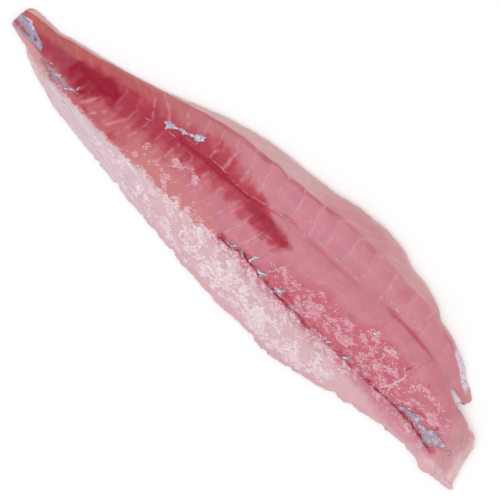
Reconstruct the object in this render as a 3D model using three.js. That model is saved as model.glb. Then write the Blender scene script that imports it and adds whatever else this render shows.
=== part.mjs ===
// Raw gurnard fillet: one boneless, skinless side of the fish, lying flesh side up.
// Millimetres, +Z up. +X runs from the tail cut to the head cut, +Y to the back of the fish,
// -Y to its belly. The origin is under the middle of the fillet.

import * as THREE from "three";

// ---- main sizes ---------------------------------------------------------------------
const TAIL_X = -120; // tail cut
const HEAD_X = 114; // top corner of the head cut, where the long groove would come out
const NOTCH_X = 97.6; // bottom of the short slit between the two lobes
const TAB_X = 99.8; // end of the thin tab in front of the back lobe
const EDGE_Z = 0.9; // height of the thin belly edge above the board
const BACK_EDGE_SHARE = 0.14; // the back edge lifts by this share of the border's height
const WEB_Z = 2.6; // top of the thin web in the root of the slit
const MYOTOME_RELIEF = 0.38; // how far the muscle blocks swell between their seams
const STATIONS_PER_BLOCK = 4; // cross-sections in one muscle block
const BELLY_CREST = 1.74; // across value of the belly lobe's highest line
const BACK_CREST = 2.48; // across value of the back lobe's highest line

// ---- small helpers ------------------------------------------------------------------
const clamp = (v, low, high) => Math.min(high, Math.max(low, v));
const mix = (a, b, t) => a + (b - a) * t;

function smooth(low, high, v) {
  const t = clamp((v - low) / (high - low), 0, 1);
  return t * t * (3 - 2 * t);
}

const bump = (v, centre, width) => Math.exp(-(((v - centre) / width) ** 2));

// A smooth curve y(x) through a few [x, y] points (monotone slopes, so it never overshoots).
function curve(points) {
  const n = points.length;
  const step = (i) => (points[i + 1][1] - points[i][1]) / (points[i + 1][0] - points[i][0]);
  const slope = points.map((_, i) => {
    if (i === 0) return step(0);
    if (i === n - 1) return step(n - 2);
    const before = step(i - 1);
    const after = step(i);
    return before * after <= 0 ? 0 : (2 * before * after) / (before + after);
  });
  return (x) => {
    const at = clamp(x, points[0][0], points[n - 1][0]);
    let i = 0;
    while (i < n - 2 && at > points[i + 1][0]) i += 1;
    const [x0, y0] = points[i];
    const [x1, y1] = points[i + 1];
    const w = x1 - x0;
    const t = (at - x0) / w;
    const rise = (1 + 2 * t) * (1 - t) * (1 - t) * y0 + t * t * (3 - 2 * t) * y1;
    return rise + w * (t * (1 - t) * (1 - t) * slope[i] - t * t * (1 - t) * slope[i + 1]);
  };
}

// ---- lines that run along the fillet, seen from above: y as a function of x -----------
const bellyEdge = curve([
  [-119, -16.8], [-110, -18.8], [-105, -21.3], [-99, -23.2], [-85, -26.4], [-74, -27.5],
  [-40, -30], [10, -32.3], [20, -31.2], [33, -31.9], [39, -31], [51, -27.8], [59, -25.4],
  [64, -23.4], [69, -23.2], [72, -21.6], [77, -21.3], [80, -20.1], [87, -18.6], [101, -18],
  [105.5, -19.6], [112, -18.1], [119, -17],
]);
const backEdge = curve([
  [-117, -6.2], [-105, -5.7], [-99, -3.9], [-85, 0], [-73, 3.7], [-60, 8.4], [-35, 19.1],
  [-20, 23.3], [8, 27.6], [22, 31], [35, 32.3], [44, 31.3], [50, 29.6], [57, 29], [68, 25.9],
  [71, 23.9], [76, 23.2], [84, 20.8], [90, 18.3], [96, 13.9], [99, 12.1], [100.8, 10.9],
]);
const groove = curve([
  [-120, -11.4], [-82, -10.2], [-63, -6], [-50, -1.3], [-35, 1], [-12, 3.8], [8, 9.2],
  [32, 11.2], [62, 12.9], [78, 12.1], [90, 9.8], [97.6, 7.2],
]);
const slitBellyLip = curve([
  [97.6, 7.2], [98.4, 6.3], [101, 5.9], [105, 4.9], [107.3, 3.4], [109.3, 3.7], [111, 3.4],
  [112.4, 1.6], [114, 0],
]);
const slitTabLip = curve([[97.6, 7.2], [98.5, 8.2], [99.8, 8.4], [100.8, 9.2]]);
// The belly flap folds against the thick muscle here: a smooth step at the tail, a crease ahead.
const bellySeam = curve([
  [-119, -16], [-106, -16.6], [-95, -20.3], [-65, -20], [-38, -18], [-8, -15.2], [2, -13],
  [25, -13.9], [57, -12.1], [88, -10.3], [100, -12], [119, -14.5],
]);
// The thin pale border of the back lobe starts at this share of the lobe's width.
const borderShare = curve([[-120, 0.75], [-60, 0.86], [-20, 0.74], [30, 0.6], [60, 0.7], [85, 0.8]]);

// ---- heights along the fillet -----------------------------------------------------------
const flapTop = curve([[-120, 2.6], [-108, 3.2], [-60, 4.2], [0, 5.6], [45, 6], [90, 5.6], [119, 4.8]]);
const seamFloor = curve([
  [-120, 2.7], [-108, 3.5], [-60, 4.8], [-15, 5.6], [0, 4.9], [90, 4.6], [108, 5.4],
]);
const bellyLobeTop = curve([
  [-120, 3], [-108, 4.6], [-85, 6.4], [-50, 8.6], [0, 10.9], [40, 12], [75, 11.3], [100, 9.4], [116, 7.2],
]);
const grooveFloor = curve([
  [-120, 3.1], [-108, 4.8], [-85, 6.5], [-50, 8.8], [-20, 10.1], [20, 11.3], [60, 11.1], [80, 9.4],
  [90, 6.9], [97.6, 3.4],
]);
const backLobeTop = curve([
  [-120, 3], [-108, 4.6], [-85, 6.3], [-50, 9], [-10, 12.3], [35, 14.5], [60, 13.7], [78, 11],
  [88, 7.6], [95, 4.8], [100, 3],
]);
const borderTop = curve([
  [-120, 2.8], [-108, 3.9], [-60, 6.5], [-20, 9.5], [30, 11.7], [60, 10.8], [80, 7.8], [90, 5.2],
  [100, 2.7],
]);
// 0 where the surface runs smoothly over the line, 1 where it creases sharply.
const seamSharp = (x) => smooth(-22, -4, x) * (1 - smooth(98, 108, x));
const grooveSharp = (x) => smooth(-75, -30, x);

// ---- cross-section lines ----------------------------------------------------------------
// A point on the fillet has a station g (where its cross line meets the groove) and an across
// value q: 0 belly edge, 1 belly seam, 2 groove, 3 border of the back lobe, 4 back edge.
// The cross lines lean like the seams between the muscle blocks.
const leanAtBellyEdge = curve([
  [-120, 1.3], [-100, -5], [0, -9], [60, -8], [95, -2], [114, 4.4],
]);
const leanAtSeam = curve([
  [-120, 0.5], [-100, -3], [-60, -4.2], [15, -4.6], [45, -4.2], [80, -3.4], [98, -1], [114, 4],
]);
const leanAtBorder = curve([
  [-120, 0.9], [-100, -3], [-60, -6], [-30, -3], [0, -4], [60, -2.4], [90, 0.3], [99.8, 0.9],
]);
const leanAtBackEdge = curve([
  [-120, 3.2], [-100, -4], [-60, -7], [-35, -2], [-5, 8], [45, 9], [75, 5.6], [99.8, 0.8],
]);

function lean(g, q) {
  if (q < 1) {
    const corner = 1.7 * bump(g, HEAD_X, 1.6) * bump(q, 0.4, 0.3);
    return mix(leanAtBellyEdge(g), leanAtSeam(g), q) + corner;
  }
  if (q < 2) return leanAtSeam(g) * (2 - q) ** 1.5;
  if (q < 3) return leanAtBorder(g) * (q - 2) ** 1.5;
  const along = q - 3;
  return mix(leanAtBorder(g), leanAtBackEdge(g), along * along * (2 - along));
}

function borderLine(x, inner) {
  return mix(inner, backEdge(x), borderShare(x));
}

// Position seen from above. Past the notch the two lobes have their own lips.
function place(g, q) {
  const x = g + lean(g, q);
  if (q < 2 || (q === 2 && g <= NOTCH_X)) {
    const top = x <= NOTCH_X ? groove(x) : slitBellyLip(x);
    const y = q < 1 ? mix(bellyEdge(x), bellySeam(x), q) : mix(bellySeam(x), top, q - 1);
    return [x, y];
  }
  const inner = x <= NOTCH_X ? groove(x) : slitTabLip(x);
  const border = borderLine(x, inner);
  return [x, q < 3 ? mix(inner, border, q - 2) : mix(border, backEdge(x), q - 3)];
}

// The belly lobe's own upper lip ahead of the notch.
function bellyLip(g) {
  return [g, slitBellyLip(g)];
}

// From a valley at t = 0 to a crest at t = 1: rounded crest, sharp or smooth valley.
function climb(t, sharp) {
  return mix((1 - Math.cos(Math.PI * t)) / 2, Math.sin((Math.PI / 2) * t), sharp);
}

// Height of the muscle under a point, before the edges are rounded off.
function muscle(x, q) {
  const floor = x > NOTCH_X ? WEB_Z + 1 : grooveFloor(x);
  const grooveBed = q < 2 && x > 96 ? mix(floor, bellyLobeTop(x) - 1.2, smooth(97, 101, x)) : floor;
  if (q < 1) {
    const crest = flapTop(x);
    if (q < 0.6) return mix(0.62 * crest, crest, Math.sin((Math.PI / 2) * (q / 0.6)));
    return mix(seamFloor(x), crest, climb((1 - q) / 0.4, seamSharp(x)));
  }
  if (q < BELLY_CREST) {
    const up = climb((q - 1) / (BELLY_CREST - 1), 0.5 * seamSharp(x));
    return mix(seamFloor(x), bellyLobeTop(x), up);
  }
  if (q < 2) {
    const up = climb((2 - q) / (2 - BELLY_CREST), grooveSharp(x));
    return mix(grooveBed, bellyLobeTop(x), up);
  }
  if (q < BACK_CREST) {
    return mix(grooveBed, backLobeTop(x), climb((q - 2) / (BACK_CREST - 2), grooveSharp(x)));
  }
  if (q < 3) {
    const down = 1 - Math.cos((Math.PI / 2) * ((q - BACK_CREST) / (3 - BACK_CREST)));
    return mix(backLobeTop(x), borderTop(x), down);
  }
  return mix(borderTop(x), 0.5 * borderTop(x), (q - 3) ** 1.2);
}

// ---- muscle blocks ------------------------------------------------------------------------
// Seam number k meets the groove at this x; the blocks grow longer toward the head.
const seamX = (k) => -3 + 7.4 * k + (k > 0 ? 0.19 : 0.04) * k * k;

function seamNumber(g) {
  const grow = g > -3 ? 0.19 : 0.04;
  return (Math.sqrt(7.4 * 7.4 + 4 * grow * (g + 3)) - 7.4) / (2 * grow);
}

function blockRelief(g, q, x) {
  const swell = Math.abs(Math.sin(Math.PI * seamNumber(g))) ** 0.7 - 0.6;
  const where = smooth(0.85, 1.15, q) * (1 - 0.75 * smooth(3, 3.6, q));
  return MYOTOME_RELIEF * swell * where * smooth(-112, -80, x);
}

// Soft folds of the belly flap, running mostly along the edge.
function flapFolds(x, y, q) {
  const where = smooth(0.06, 0.3, q) * (1 - smooth(0.8, 1, q)) * smooth(-60, -20, x);
  const fold = Math.sin(0.55 * y + 0.9 * Math.sin(0.11 * x)) * Math.sin(0.17 * x + 0.3 * y);
  return 0.28 * where * fold;
}

// The thin web that still joins the lobes just behind the slit.
function webShare(x, y) {
  const along = clamp((x - 91) / (NOTCH_X - 91), 0, 1);
  const away = Math.abs(y - mix(9.2, 7.6, along));
  const reach = 0.2 + 0.7 * along;
  const ahead = smooth(90.5, 93, x) * (1 - smooth(NOTCH_X, NOTCH_X + 0.6, x));
  return ahead * (1 - smooth(reach, reach + 1.1, away));
}

// ---- rounding toward the outline ----------------------------------------------------------
function distanceTo(loop, x, y) {
  let best = Infinity;
  loop.forEach(([ax, ay], i) => {
    const [bx, by] = loop[(i + 1) % loop.length];
    const long = (bx - ax) ** 2 + (by - ay) ** 2;
    const t = clamp(((x - ax) * (bx - ax) + (y - ay) * (by - ay)) / long, 0, 1);
    best = Math.min(best, Math.hypot(x - mix(ax, bx, t), y - mix(ay, by, t)));
  });
  return best;
}

function edgeHeight(x, q) {
  const back = EDGE_Z / 2 + BACK_EDGE_SHARE * borderTop(x);
  const side = mix(EDGE_Z, back, smooth(2.5, 3.5, q));
  return side + 0.5 * smooth(100, 114, x) * (1 - smooth(3, 4, q));
}

// How far in from the outline the top stays rounded.
function roundReach(x, q) {
  const side = mix(1.7, 2.1, smooth(2.6, 3.4, q));
  return side + 1.1 * smooth(104, 113, x) - 0.9 * smooth(84, 96, x) * smooth(1.9, 2, q);
}

function topHeight(g, q, loop) {
  const [x, y] = q === 2 && g > NOTCH_X ? bellyLip(g) : place(g, q);
  const away = distanceTo(loop, x, y);
  const inward = clamp(away / roundReach(x, q), 0, 1);
  const body = muscle(x, q) + blockRelief(g, q, x) + flapFolds(x, y, q);
  const full = mix(body, WEB_Z, webShare(x, y));
  return mix(edgeHeight(x, q), full, Math.sqrt(1 - (1 - inward) ** 2));
}

// ---- the grid of stations and columns -----------------------------------------------------
const BELLY_COLUMNS = [
  0, 0.02, 0.06, 0.13, 0.24, 0.38, 0.54, 0.7, 0.84, 0.94, 1,
  1.05, 1.14, 1.27, 1.42, 1.58, 1.73, 1.86, 1.95, 2,
];
const BACK_COLUMNS = [
  2, 2.06, 2.17, 2.32, 2.5, 2.68, 2.84, 3, 3.2, 3.42, 3.62, 3.78, 3.89, 3.96, 4,
];

function stationList() {
  const shared = [TAIL_X, TAIL_X + 0.35, TAIL_X + 1, TAIL_X + 2.2, TAIL_X + 4];
  const first = Math.ceil(seamNumber(TAIL_X + 6) * STATIONS_PER_BLOCK);
  for (let i = first; seamX(i / STATIONS_PER_BLOCK) < NOTCH_X - 1.5; i += 1) {
    shared.push(seamX(i / STATIONS_PER_BLOCK));
  }
  shared.push(NOTCH_X);
  return shared;
}

const SHARED = stationList();
const BELLY_STATIONS = [
  ...SHARED, 98.4, 99.6, 101.2, 103, 104.8, 106.6, 108.4, 110, 111.4, 112.5, 113.3, 113.75, HEAD_X,
];
const BACK_STATIONS = [...SHARED, 98.3, 98.9, 99.4, TAB_X];

const bellyPlace = (g, q) => (q === 2 && g > NOTCH_X ? bellyLip(g) : place(g, q));
const backPlace = (g, q) => {
  if (q > 2 || g <= NOTCH_X) return place(g, q);
  return [g, slitTabLip(g)];
};

// The outline as a walk over grid points [lobe, station, column], counter-clockwise from the
// tail's belly corner.
function outlineWalk() {
  const walk = [];
  const belly = BELLY_COLUMNS.length - 1;
  const back = BACK_COLUMNS.length - 1;
  const notch = SHARED.length - 1;
  for (let i = 0; i < BELLY_STATIONS.length; i += 1) walk.push(["belly", i, 0]);
  for (let j = 1; j <= belly; j += 1) walk.push(["belly", BELLY_STATIONS.length - 1, j]);
  for (let i = BELLY_STATIONS.length - 2; i >= notch; i -= 1) walk.push(["belly", i, belly]);
  for (let i = notch + 1; i < BACK_STATIONS.length; i += 1) walk.push(["back", i, 0]);
  for (let j = 1; j <= back; j += 1) walk.push(["back", BACK_STATIONS.length - 1, j]);
  for (let i = BACK_STATIONS.length - 2; i >= 0; i -= 1) walk.push(["back", i, back]);
  for (let j = back - 1; j >= 0; j -= 1) walk.push(["back", 0, j]);
  for (let j = belly - 1; j > 0; j -= 1) walk.push(["belly", 0, j]);
  return walk;
}

const LOBES = {
  belly: { stations: BELLY_STATIONS, columns: BELLY_COLUMNS, place: bellyPlace },
  back: { stations: BACK_STATIONS, columns: BACK_COLUMNS, place: backPlace },
};

function walkPoint([lobe, i, j]) {
  const { stations, columns, place: at } = LOBES[lobe];
  return at(stations[i], columns[j]);
}

// ---- the underside --------------------------------------------------------------------------
// The across value that lies a given distance in from an edge, measured along the cross line.
function inFrom(lobe, g, edge, toward, distance) {
  const at = LOBES[lobe].place;
  const [x0, y0] = at(g, edge);
  for (let q = edge; Math.abs(q - edge) < 1.8; q += toward * 0.004) {
    const [x, y] = at(g, q);
    if (Math.hypot(x - x0, y - y0) >= distance) return q;
  }
  return edge + toward * 1.8;
}

// How far the rings under the rim reach in: from the ends, the edges and the lips of the slit.
const END_INSET = 1.6;
const BELLY_INSET = 1.9;
const BACK_INSET = 4.2;
const TAB_INSET = 0.9;
const LIP_INSET = 1.4;

// The outline point moved in by a share of those distances. The whole outline shrinks evenly,
// so that no two points fall together.
function insetPoint([lobe, i, j], share) {
  const { stations, columns, place: at } = LOBES[lobe];
  const g0 = stations[i];
  const q0 = columns[j];
  const last = stations.at(-1);
  const endInset = share * (lobe === "back" ? TAB_INSET : END_INSET);
  if (g0 === NOTCH_X && q0 === 2) return place(g0 - LIP_INSET * share, 2);
  const along = (g0 - TAIL_X) / (last - TAIL_X);
  const g = mix(TAIL_X + share * END_INSET, last - endInset, along);
  const narrow = smooth(80, 96, g) + smooth(-80, -108, g);
  if (lobe === "belly") {
    const low = inFrom("belly", g, 0, 1, share * BELLY_INSET);
    const high = g0 > NOTCH_X ? inFrom("belly", g, 2, -1, share * LIP_INSET) : 2;
    return at(g, mix(low, high, q0 / 2));
  }
  const inner = g0 > NOTCH_X ? inFrom("back", g, 2, 1, share * TAB_INSET) : 2;
  const outer = inFrom("back", g, 4, -1, share * mix(BACK_INSET, TAB_INSET, narrow));
  return at(g, mix(inner, outer, (q0 - 2) / 2));
}

// ---- the closed mesh --------------------------------------------------------------------------
function buildFillet() {
  const walk = outlineWalk();
  const loop = walk.map(walkPoint);
  const points = [];
  const index = [];
  const add = (x, y, z) => points.push(x, y, z) / 3 - 1;

  const rows = {};
  Object.entries(LOBES).forEach(([lobe, { stations, columns, place: at }]) => {
    rows[lobe] = stations.map((g, i) =>
      columns.map((q, j) => {
        if (lobe === "back" && j === 0 && i < SHARED.length) return rows.belly[i].at(-1);
        const [x, y] = at(g, q);
        return add(x, y, topHeight(g, q, loop));
      }),
    );
  });
  const cells = (grid) => {
    for (let i = 0; i + 1 < grid.length; i += 1) {
      for (let j = 0; j + 1 < grid[i].length; j += 1) {
        const [a, b] = [grid[i][j], grid[i + 1][j]];
        const [c, d] = [grid[i + 1][j + 1], grid[i][j + 1]];
        index.push(a, b, c, a, c, d);
      }
    }
  };
  cells(rows.belly);
  cells(rows.back);

  // Two rings curl the rim under, then a flat face closes the bottom.
  const rim = walk.map(([lobe, i, j]) => rows[lobe][i][j]);
  const ring = (share, drop) =>
    walk.map((step, n) => {
      const [x, y] = insetPoint(step, share);
      return add(x, y, points[rim[n] * 3 + 2] * drop);
    });
  const middle = ring(0.35, 0.24);
  const foot = ring(1, 0);
  const stitch = (upper, lower) => {
    upper.forEach((_, n) => {
      const m = (n + 1) % upper.length;
      index.push(upper[n], lower[n], lower[m], upper[n], lower[m], upper[m]);
    });
  };
  stitch(rim, middle);
  stitch(middle, foot);
  const flat = foot.map((v) => new THREE.Vector2(points[v * 3], points[v * 3 + 1]));
  THREE.ShapeUtils.triangulateShape(flat, []).forEach(([a, b, c]) => {
    index.push(foot[a], foot[c], foot[b]);
  });

  const geometry = new THREE.BufferGeometry();
  geometry.setAttribute("position", new THREE.Float32BufferAttribute(points, 3));
  geometry.setIndex(index);
  geometry.computeVertexNormals();
  return geometry;
}

const rawFlesh = new THREE.MeshStandardMaterial({
  color: 0xcb8893,
  roughness: 0.4,
  metalness: 0,
});

const fillet = new THREE.Mesh(buildFillet(), rawFlesh);
fillet.name = "fillet";

const group = new THREE.Group();
group.name = "raw_gurnard_fillet";
group.add(fillet);

export default group;
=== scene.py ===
"""Raw gurnard fillet: moist pink flesh with its blood line, belly flap and torn films."""

import logging
import math
from dataclasses import dataclass, field
from enum import Enum
from typing import Callable, NamedTuple, Sequence

import bmesh
import bpy
import numpy as np
from bpy.types import GeometryNodeTree, ID, Material, Mesh, Node, NodeSocket, NodeTree, Object
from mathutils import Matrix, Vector
from mathutils.bvhtree import BVHTree


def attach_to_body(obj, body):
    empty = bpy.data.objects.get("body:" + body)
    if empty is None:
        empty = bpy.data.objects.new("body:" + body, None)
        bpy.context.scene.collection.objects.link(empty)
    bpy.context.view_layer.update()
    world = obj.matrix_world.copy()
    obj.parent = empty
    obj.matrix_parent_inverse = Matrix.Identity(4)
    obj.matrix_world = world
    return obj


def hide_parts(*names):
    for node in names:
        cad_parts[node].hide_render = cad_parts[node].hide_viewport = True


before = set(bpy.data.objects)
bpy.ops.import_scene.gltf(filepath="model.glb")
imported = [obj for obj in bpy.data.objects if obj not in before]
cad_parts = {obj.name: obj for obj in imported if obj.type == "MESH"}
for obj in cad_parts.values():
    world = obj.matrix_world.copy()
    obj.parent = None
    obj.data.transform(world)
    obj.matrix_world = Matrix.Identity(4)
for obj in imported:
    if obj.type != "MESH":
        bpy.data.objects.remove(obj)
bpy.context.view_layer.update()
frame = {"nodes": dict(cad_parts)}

LOG = logging.getLogger("fillet")
MM = 0.001  # one millimetre in metres
Grid = np.ndarray


# ---- numbers and noise ----
def smooth(low: float, high: float, v: Grid) -> Grid:
    """A soft step.

    Args:
        low: where the step starts.
        high: where it is complete; it may be below low, for a falling step.
        v: the values to test.

    Returns:
        0 before low, 1 after high, and an S curve between.
    """
    t = np.clip((v - low) / (high - low), 0.0, 1.0)
    return t * t * (3 - 2 * t)


def mix(a: Grid, b: Grid, t: Grid) -> Grid:
    """Blend from a to b as t goes from 0 to 1."""
    return a + (b - a) * t


def hill(v: Grid, centre: float, width: float) -> Grid:
    """A bell of height 1 round centre."""
    return np.exp(-(((v - centre) / width) ** 2))


def lattice(ix: Grid, iy: Grid, seed: int) -> Grid:
    """A fixed random angle for each whole-number grid point.

    Args:
        ix: grid columns.
        iy: grid rows.
        seed: picks the pattern.

    Returns:
        The angles, in radians.
    """
    h = ix.astype(np.int64) * 374761393 + iy.astype(np.int64) * 668265263 + seed * 362437
    h = (h ^ (h >> 13)) * 1274126177 & 0xFFFFFFFF
    return ((h ^ (h >> 16)) & 0xFFFF) / 65536.0 * 2 * math.pi


def noise(x: Grid, y: Grid, seed: int) -> Grid:
    """Smooth gradient noise of unit cell size, about -1 to 1.

    Args:
        x: first coordinate, in cells.
        y: second coordinate, in cells.
        seed: picks the pattern.

    Returns:
        One value per point.
    """
    x, y = np.broadcast_arrays(np.asarray(x, float), np.asarray(y, float))
    ix, iy = np.floor(x), np.floor(y)
    fx, fy = x - ix, y - iy
    wx, wy = fx * fx * (3 - 2 * fx), fy * fy * (3 - 2 * fy)

    def corner(dx: int, dy: int) -> Grid:
        """The ramp that one grid corner sets."""
        angle = lattice(ix + dx, iy + dy, seed)
        return np.cos(angle) * (fx - dx) + np.sin(angle) * (fy - dy)

    low = mix(corner(0, 0), corner(1, 0), wx)
    high = mix(corner(0, 1), corner(1, 1), wx)
    return 1.5 * mix(low, high, wy)


def layered(x: Grid, y: Grid, seed: int, layers: int = 3) -> Grid:
    """Noise with finer, weaker layers on top."""
    total = sum(noise(x * 2**n, y * 2**n, seed + n) / 2**n for n in range(layers))
    return total / (2 - 2 ** (1 - layers))


@dataclass(frozen=True)
class Line:
    """A smooth curve y(x) through a few points, which never overshoots them."""

    points: tuple[tuple[float, float], ...]

    def __call__(self, x: Grid) -> Grid:
        """The curve's value at each x, in the units of its points.

        Args:
            x: where to read the curve.

        Returns:
            The curve's value at each x.
        """
        px, py = np.array(self.points, float).T
        step = np.diff(py) / np.diff(px)
        same = step[:-1] * step[1:] > 0
        both = np.where(same, step[:-1] + step[1:], 1)
        inner = np.where(same, 2 * step[:-1] * step[1:] / both, 0)
        slope = np.concatenate([[step[0]], inner, [step[-1]]])
        at = np.clip(x, px[0], px[-1])
        i = np.clip(np.searchsorted(px, at) - 1, 0, len(px) - 2)
        w = px[i + 1] - px[i]
        t = (at - px[i]) / w
        rise = (1 + 2 * t) * (1 - t) ** 2 * py[i] + t * t * (3 - 2 * t) * py[i + 1]
        return rise + w * (t * (1 - t) ** 2 * slope[i] - t * t * (1 - t) * slope[i + 1])


def line(*points: tuple[float, float]) -> Line:
    """A Line through these points."""
    return Line(tuple(points))


def near_path(x: Grid, y: Grid, path: Sequence[tuple[float, ...]]) -> tuple[Grid, Grid]:
    """How close points are to a path seen from above.

    Args:
        x: point positions along the fillet, in millimetres.
        y: point positions across it.
        path: (x, y) or (x, y, half width) at each bend.

    Returns:
        The distance to the path, and the path's half width there (0 without widths).
    """
    best = np.full(np.shape(x), 1e9)
    wide = np.zeros(np.shape(x))
    for a, b in zip(path, path[1:]):
        dx, dy = b[0] - a[0], b[1] - a[1]
        t = np.clip(((x - a[0]) * dx + (y - a[1]) * dy) / (dx * dx + dy * dy), 0, 1)
        away = np.hypot(x - a[0] - t * dx, y - a[1] - t * dy)
        half = a[2] + (b[2] - a[2]) * t if len(a) > 2 else 0.0
        closer = away - half < best - wide
        wide = np.where(closer, half, wide)
        best = np.where(closer, away, best)
    return best, wide


# ---- the fillet's form ----
class Points(NamedTuple):
    """Points of the flesh side: x and y in millimetres, across value and station."""

    x: Grid
    y: Grid
    q: Grid
    g: Grid


class Lobe(Enum):
    """The two muscle lobes, which a short slit parts at the head end."""

    BELLY = "belly"
    BACK = "back"


@dataclass(frozen=True)
class FilletForm:
    """The shape in millimetres, by named lines along the fillet.

    A point has a station g, where its cross line meets the long groove, and an across value q:
    0 belly edge, 1 belly seam, 2 groove, 3 border of the back lobe, 4 back edge.
    """

    tail_x: float = -120.0
    head_x: float = 114.0
    notch_x: float = 97.6
    tab_x: float = 99.8
    edge_z: float = 0.9
    back_edge_share: float = 0.14
    web_z: float = 2.6
    block_relief: float = 0.38
    first_block: float = 7.4
    belly_crest: float = 1.74
    back_crest: float = 2.48
    belly_edge: Line = line(
        (-119, -16.8), (-110, -18.8), (-105, -21.3), (-99, -23.2), (-85, -26.4), (-74, -27.5),
        (-40, -30), (10, -32.3), (20, -31.2), (33, -31.9), (39, -31), (51, -27.8), (59, -25.4),
        (64, -23.4), (69, -23.2), (72, -21.6), (77, -21.3), (80, -20.1), (87, -18.6), (101, -18),
        (105.5, -19.6), (112, -18.1), (119, -17))
    back_edge: Line = line(
        (-117, -6.2), (-105, -5.7), (-99, -3.9), (-85, 0), (-73, 3.7), (-60, 8.4), (-35, 19.1),
        (-20, 23.3), (8, 27.6), (22, 31), (35, 32.3), (44, 31.3), (50, 29.6), (57, 29), (68, 25.9),
        (71, 23.9), (76, 23.2), (84, 20.8), (90, 18.3), (96, 13.9), (99, 12.1), (100.8, 10.9))
    groove: Line = line(
        (-120, -11.4), (-82, -10.2), (-63, -6), (-50, -1.3), (-35, 1), (-12, 3.8), (8, 9.2),
        (32, 11.2), (62, 12.9), (78, 12.1), (90, 9.8), (97.6, 7.2))
    slit_belly_lip: Line = line(
        (97.6, 7.2), (98.4, 6.3), (101, 5.9), (105, 4.9), (107.3, 3.4), (109.3, 3.7), (111, 3.4),
        (112.4, 1.6), (114, 0))
    slit_tab_lip: Line = line((97.6, 7.2), (98.5, 8.2), (99.8, 8.4), (100.8, 9.2))
    belly_seam: Line = line(
        (-119, -16), (-106, -16.6), (-95, -20.3), (-65, -20), (-38, -18), (-8, -15.2), (2, -13),
        (25, -13.9), (57, -12.1), (88, -10.3), (100, -12), (119, -14.5))
    border_share: Line = line(
        (-120, 0.75), (-60, 0.86), (-20, 0.74), (30, 0.6), (60, 0.7), (85, 0.8))
    flap_top: Line = line(
        (-120, 2.6), (-108, 3.2), (-60, 4.2), (0, 5.6), (45, 6), (90, 5.6), (119, 4.8))
    seam_floor: Line = line(
        (-120, 2.7), (-108, 3.5), (-60, 4.8), (-15, 5.6), (0, 4.9), (90, 4.6), (108, 5.4))
    belly_lobe_top: Line = line(
        (-120, 3), (-108, 4.6), (-85, 6.4), (-50, 8.6), (0, 10.9), (40, 12), (75, 11.3),
        (100, 9.4), (116, 7.2))
    groove_floor: Line = line(
        (-120, 3.1), (-108, 4.8), (-85, 6.5), (-50, 8.8), (-20, 10.1), (20, 11.3), (60, 11.1),
        (80, 9.4), (90, 6.9), (97.6, 3.4))
    back_lobe_top: Line = line(
        (-120, 3), (-108, 4.6), (-85, 6.3), (-50, 9), (-10, 12.3), (35, 14.5), (60, 13.7),
        (78, 11), (88, 7.6), (95, 4.8), (100, 3))
    border_top: Line = line(
        (-120, 2.8), (-108, 3.9), (-60, 6.5), (-20, 9.5), (30, 11.7), (60, 10.8), (80, 7.8),
        (90, 5.2), (100, 2.7))
    lean_belly_edge: Line = line((-120, 1.3), (-100, -5), (0, -9), (60, -8), (95, -2), (114, 4.4))
    lean_seam: Line = line(
        (-120, 0.5), (-100, -3), (-60, -4.2), (15, -4.6), (45, -4.2), (80, -3.4), (98, -1),
        (114, 4))
    lean_border: Line = line(
        (-120, 0.9), (-100, -3), (-60, -6), (-30, -3), (0, -4), (60, -2.4), (90, 0.3), (99.8, 0.9))
    lean_back_edge: Line = line(
        (-120, 3.2), (-100, -4), (-60, -7), (-35, -2), (-5, 8), (45, 9), (75, 5.6), (99.8, 0.8))

    def seam_sharp(self, x: Grid) -> Grid:
        """1 where the belly seam is a sharp crease, 0 where the flesh runs smoothly over it."""
        return smooth(-22, -4, x) * smooth(108, 98, x)

    def lean(self, g: Grid, q: Grid) -> Grid:
        """How far ahead of its station a point lies, as the muscle seams lean.

        Args:
            g: stations.
            q: across values.

        Returns:
            The lead of each point, in millimetres.
        """
        corner = 1.7 * hill(g, self.head_x, 1.6) * hill(q, 0.4, 0.3)
        edge, seam = self.lean_belly_edge(g), self.lean_seam(g)
        border, back = self.lean_border(g), self.lean_back_edge(g)
        out = np.clip(q - 3, 0, 1)
        return np.select(
            [q < 1, q < 2, q < 3],
            [mix(edge, seam, q) + corner, seam * np.clip(2 - q, 0, 1) ** 1.5,
             border * np.clip(q - 2, 0, 1) ** 1.5],
            mix(border, back, out * out * (2 - out)))

    def place(self, g: Grid, q: Grid, lobe: Lobe) -> tuple[Grid, Grid]:
        """Where a grid point lies, seen from above.

        Args:
            g: stations.
            q: across values.
            lobe: which lobe's own lip to use past the notch.

        Returns:
            x and y in millimetres.
        """
        x = g + self.lean(g, q)
        joined = x <= self.notch_x
        if lobe is Lobe.BELLY:
            top = np.where(joined, self.groove(x), self.slit_belly_lip(x))
            seam = self.belly_seam(x)
            y = np.where(q < 1, mix(self.belly_edge(x), seam, q), mix(seam, top, q - 1))
        else:
            inner = np.where(joined, self.groove(x), self.slit_tab_lip(x))
            border = mix(inner, self.back_edge(x), self.border_share(x))
            y = np.where(q < 3, mix(inner, border, q - 2), mix(border, self.back_edge(x), q - 3))
        return x, y

    def climb(self, t: Grid, sharp: Grid) -> Grid:
        """From a valley at 0 to a rounded crest at 1, with a sharp or a smooth valley."""
        t = np.clip(t, 0, 1)
        return mix((1 - np.cos(np.pi * t)) / 2, np.sin(np.pi / 2 * t), sharp)

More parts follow.
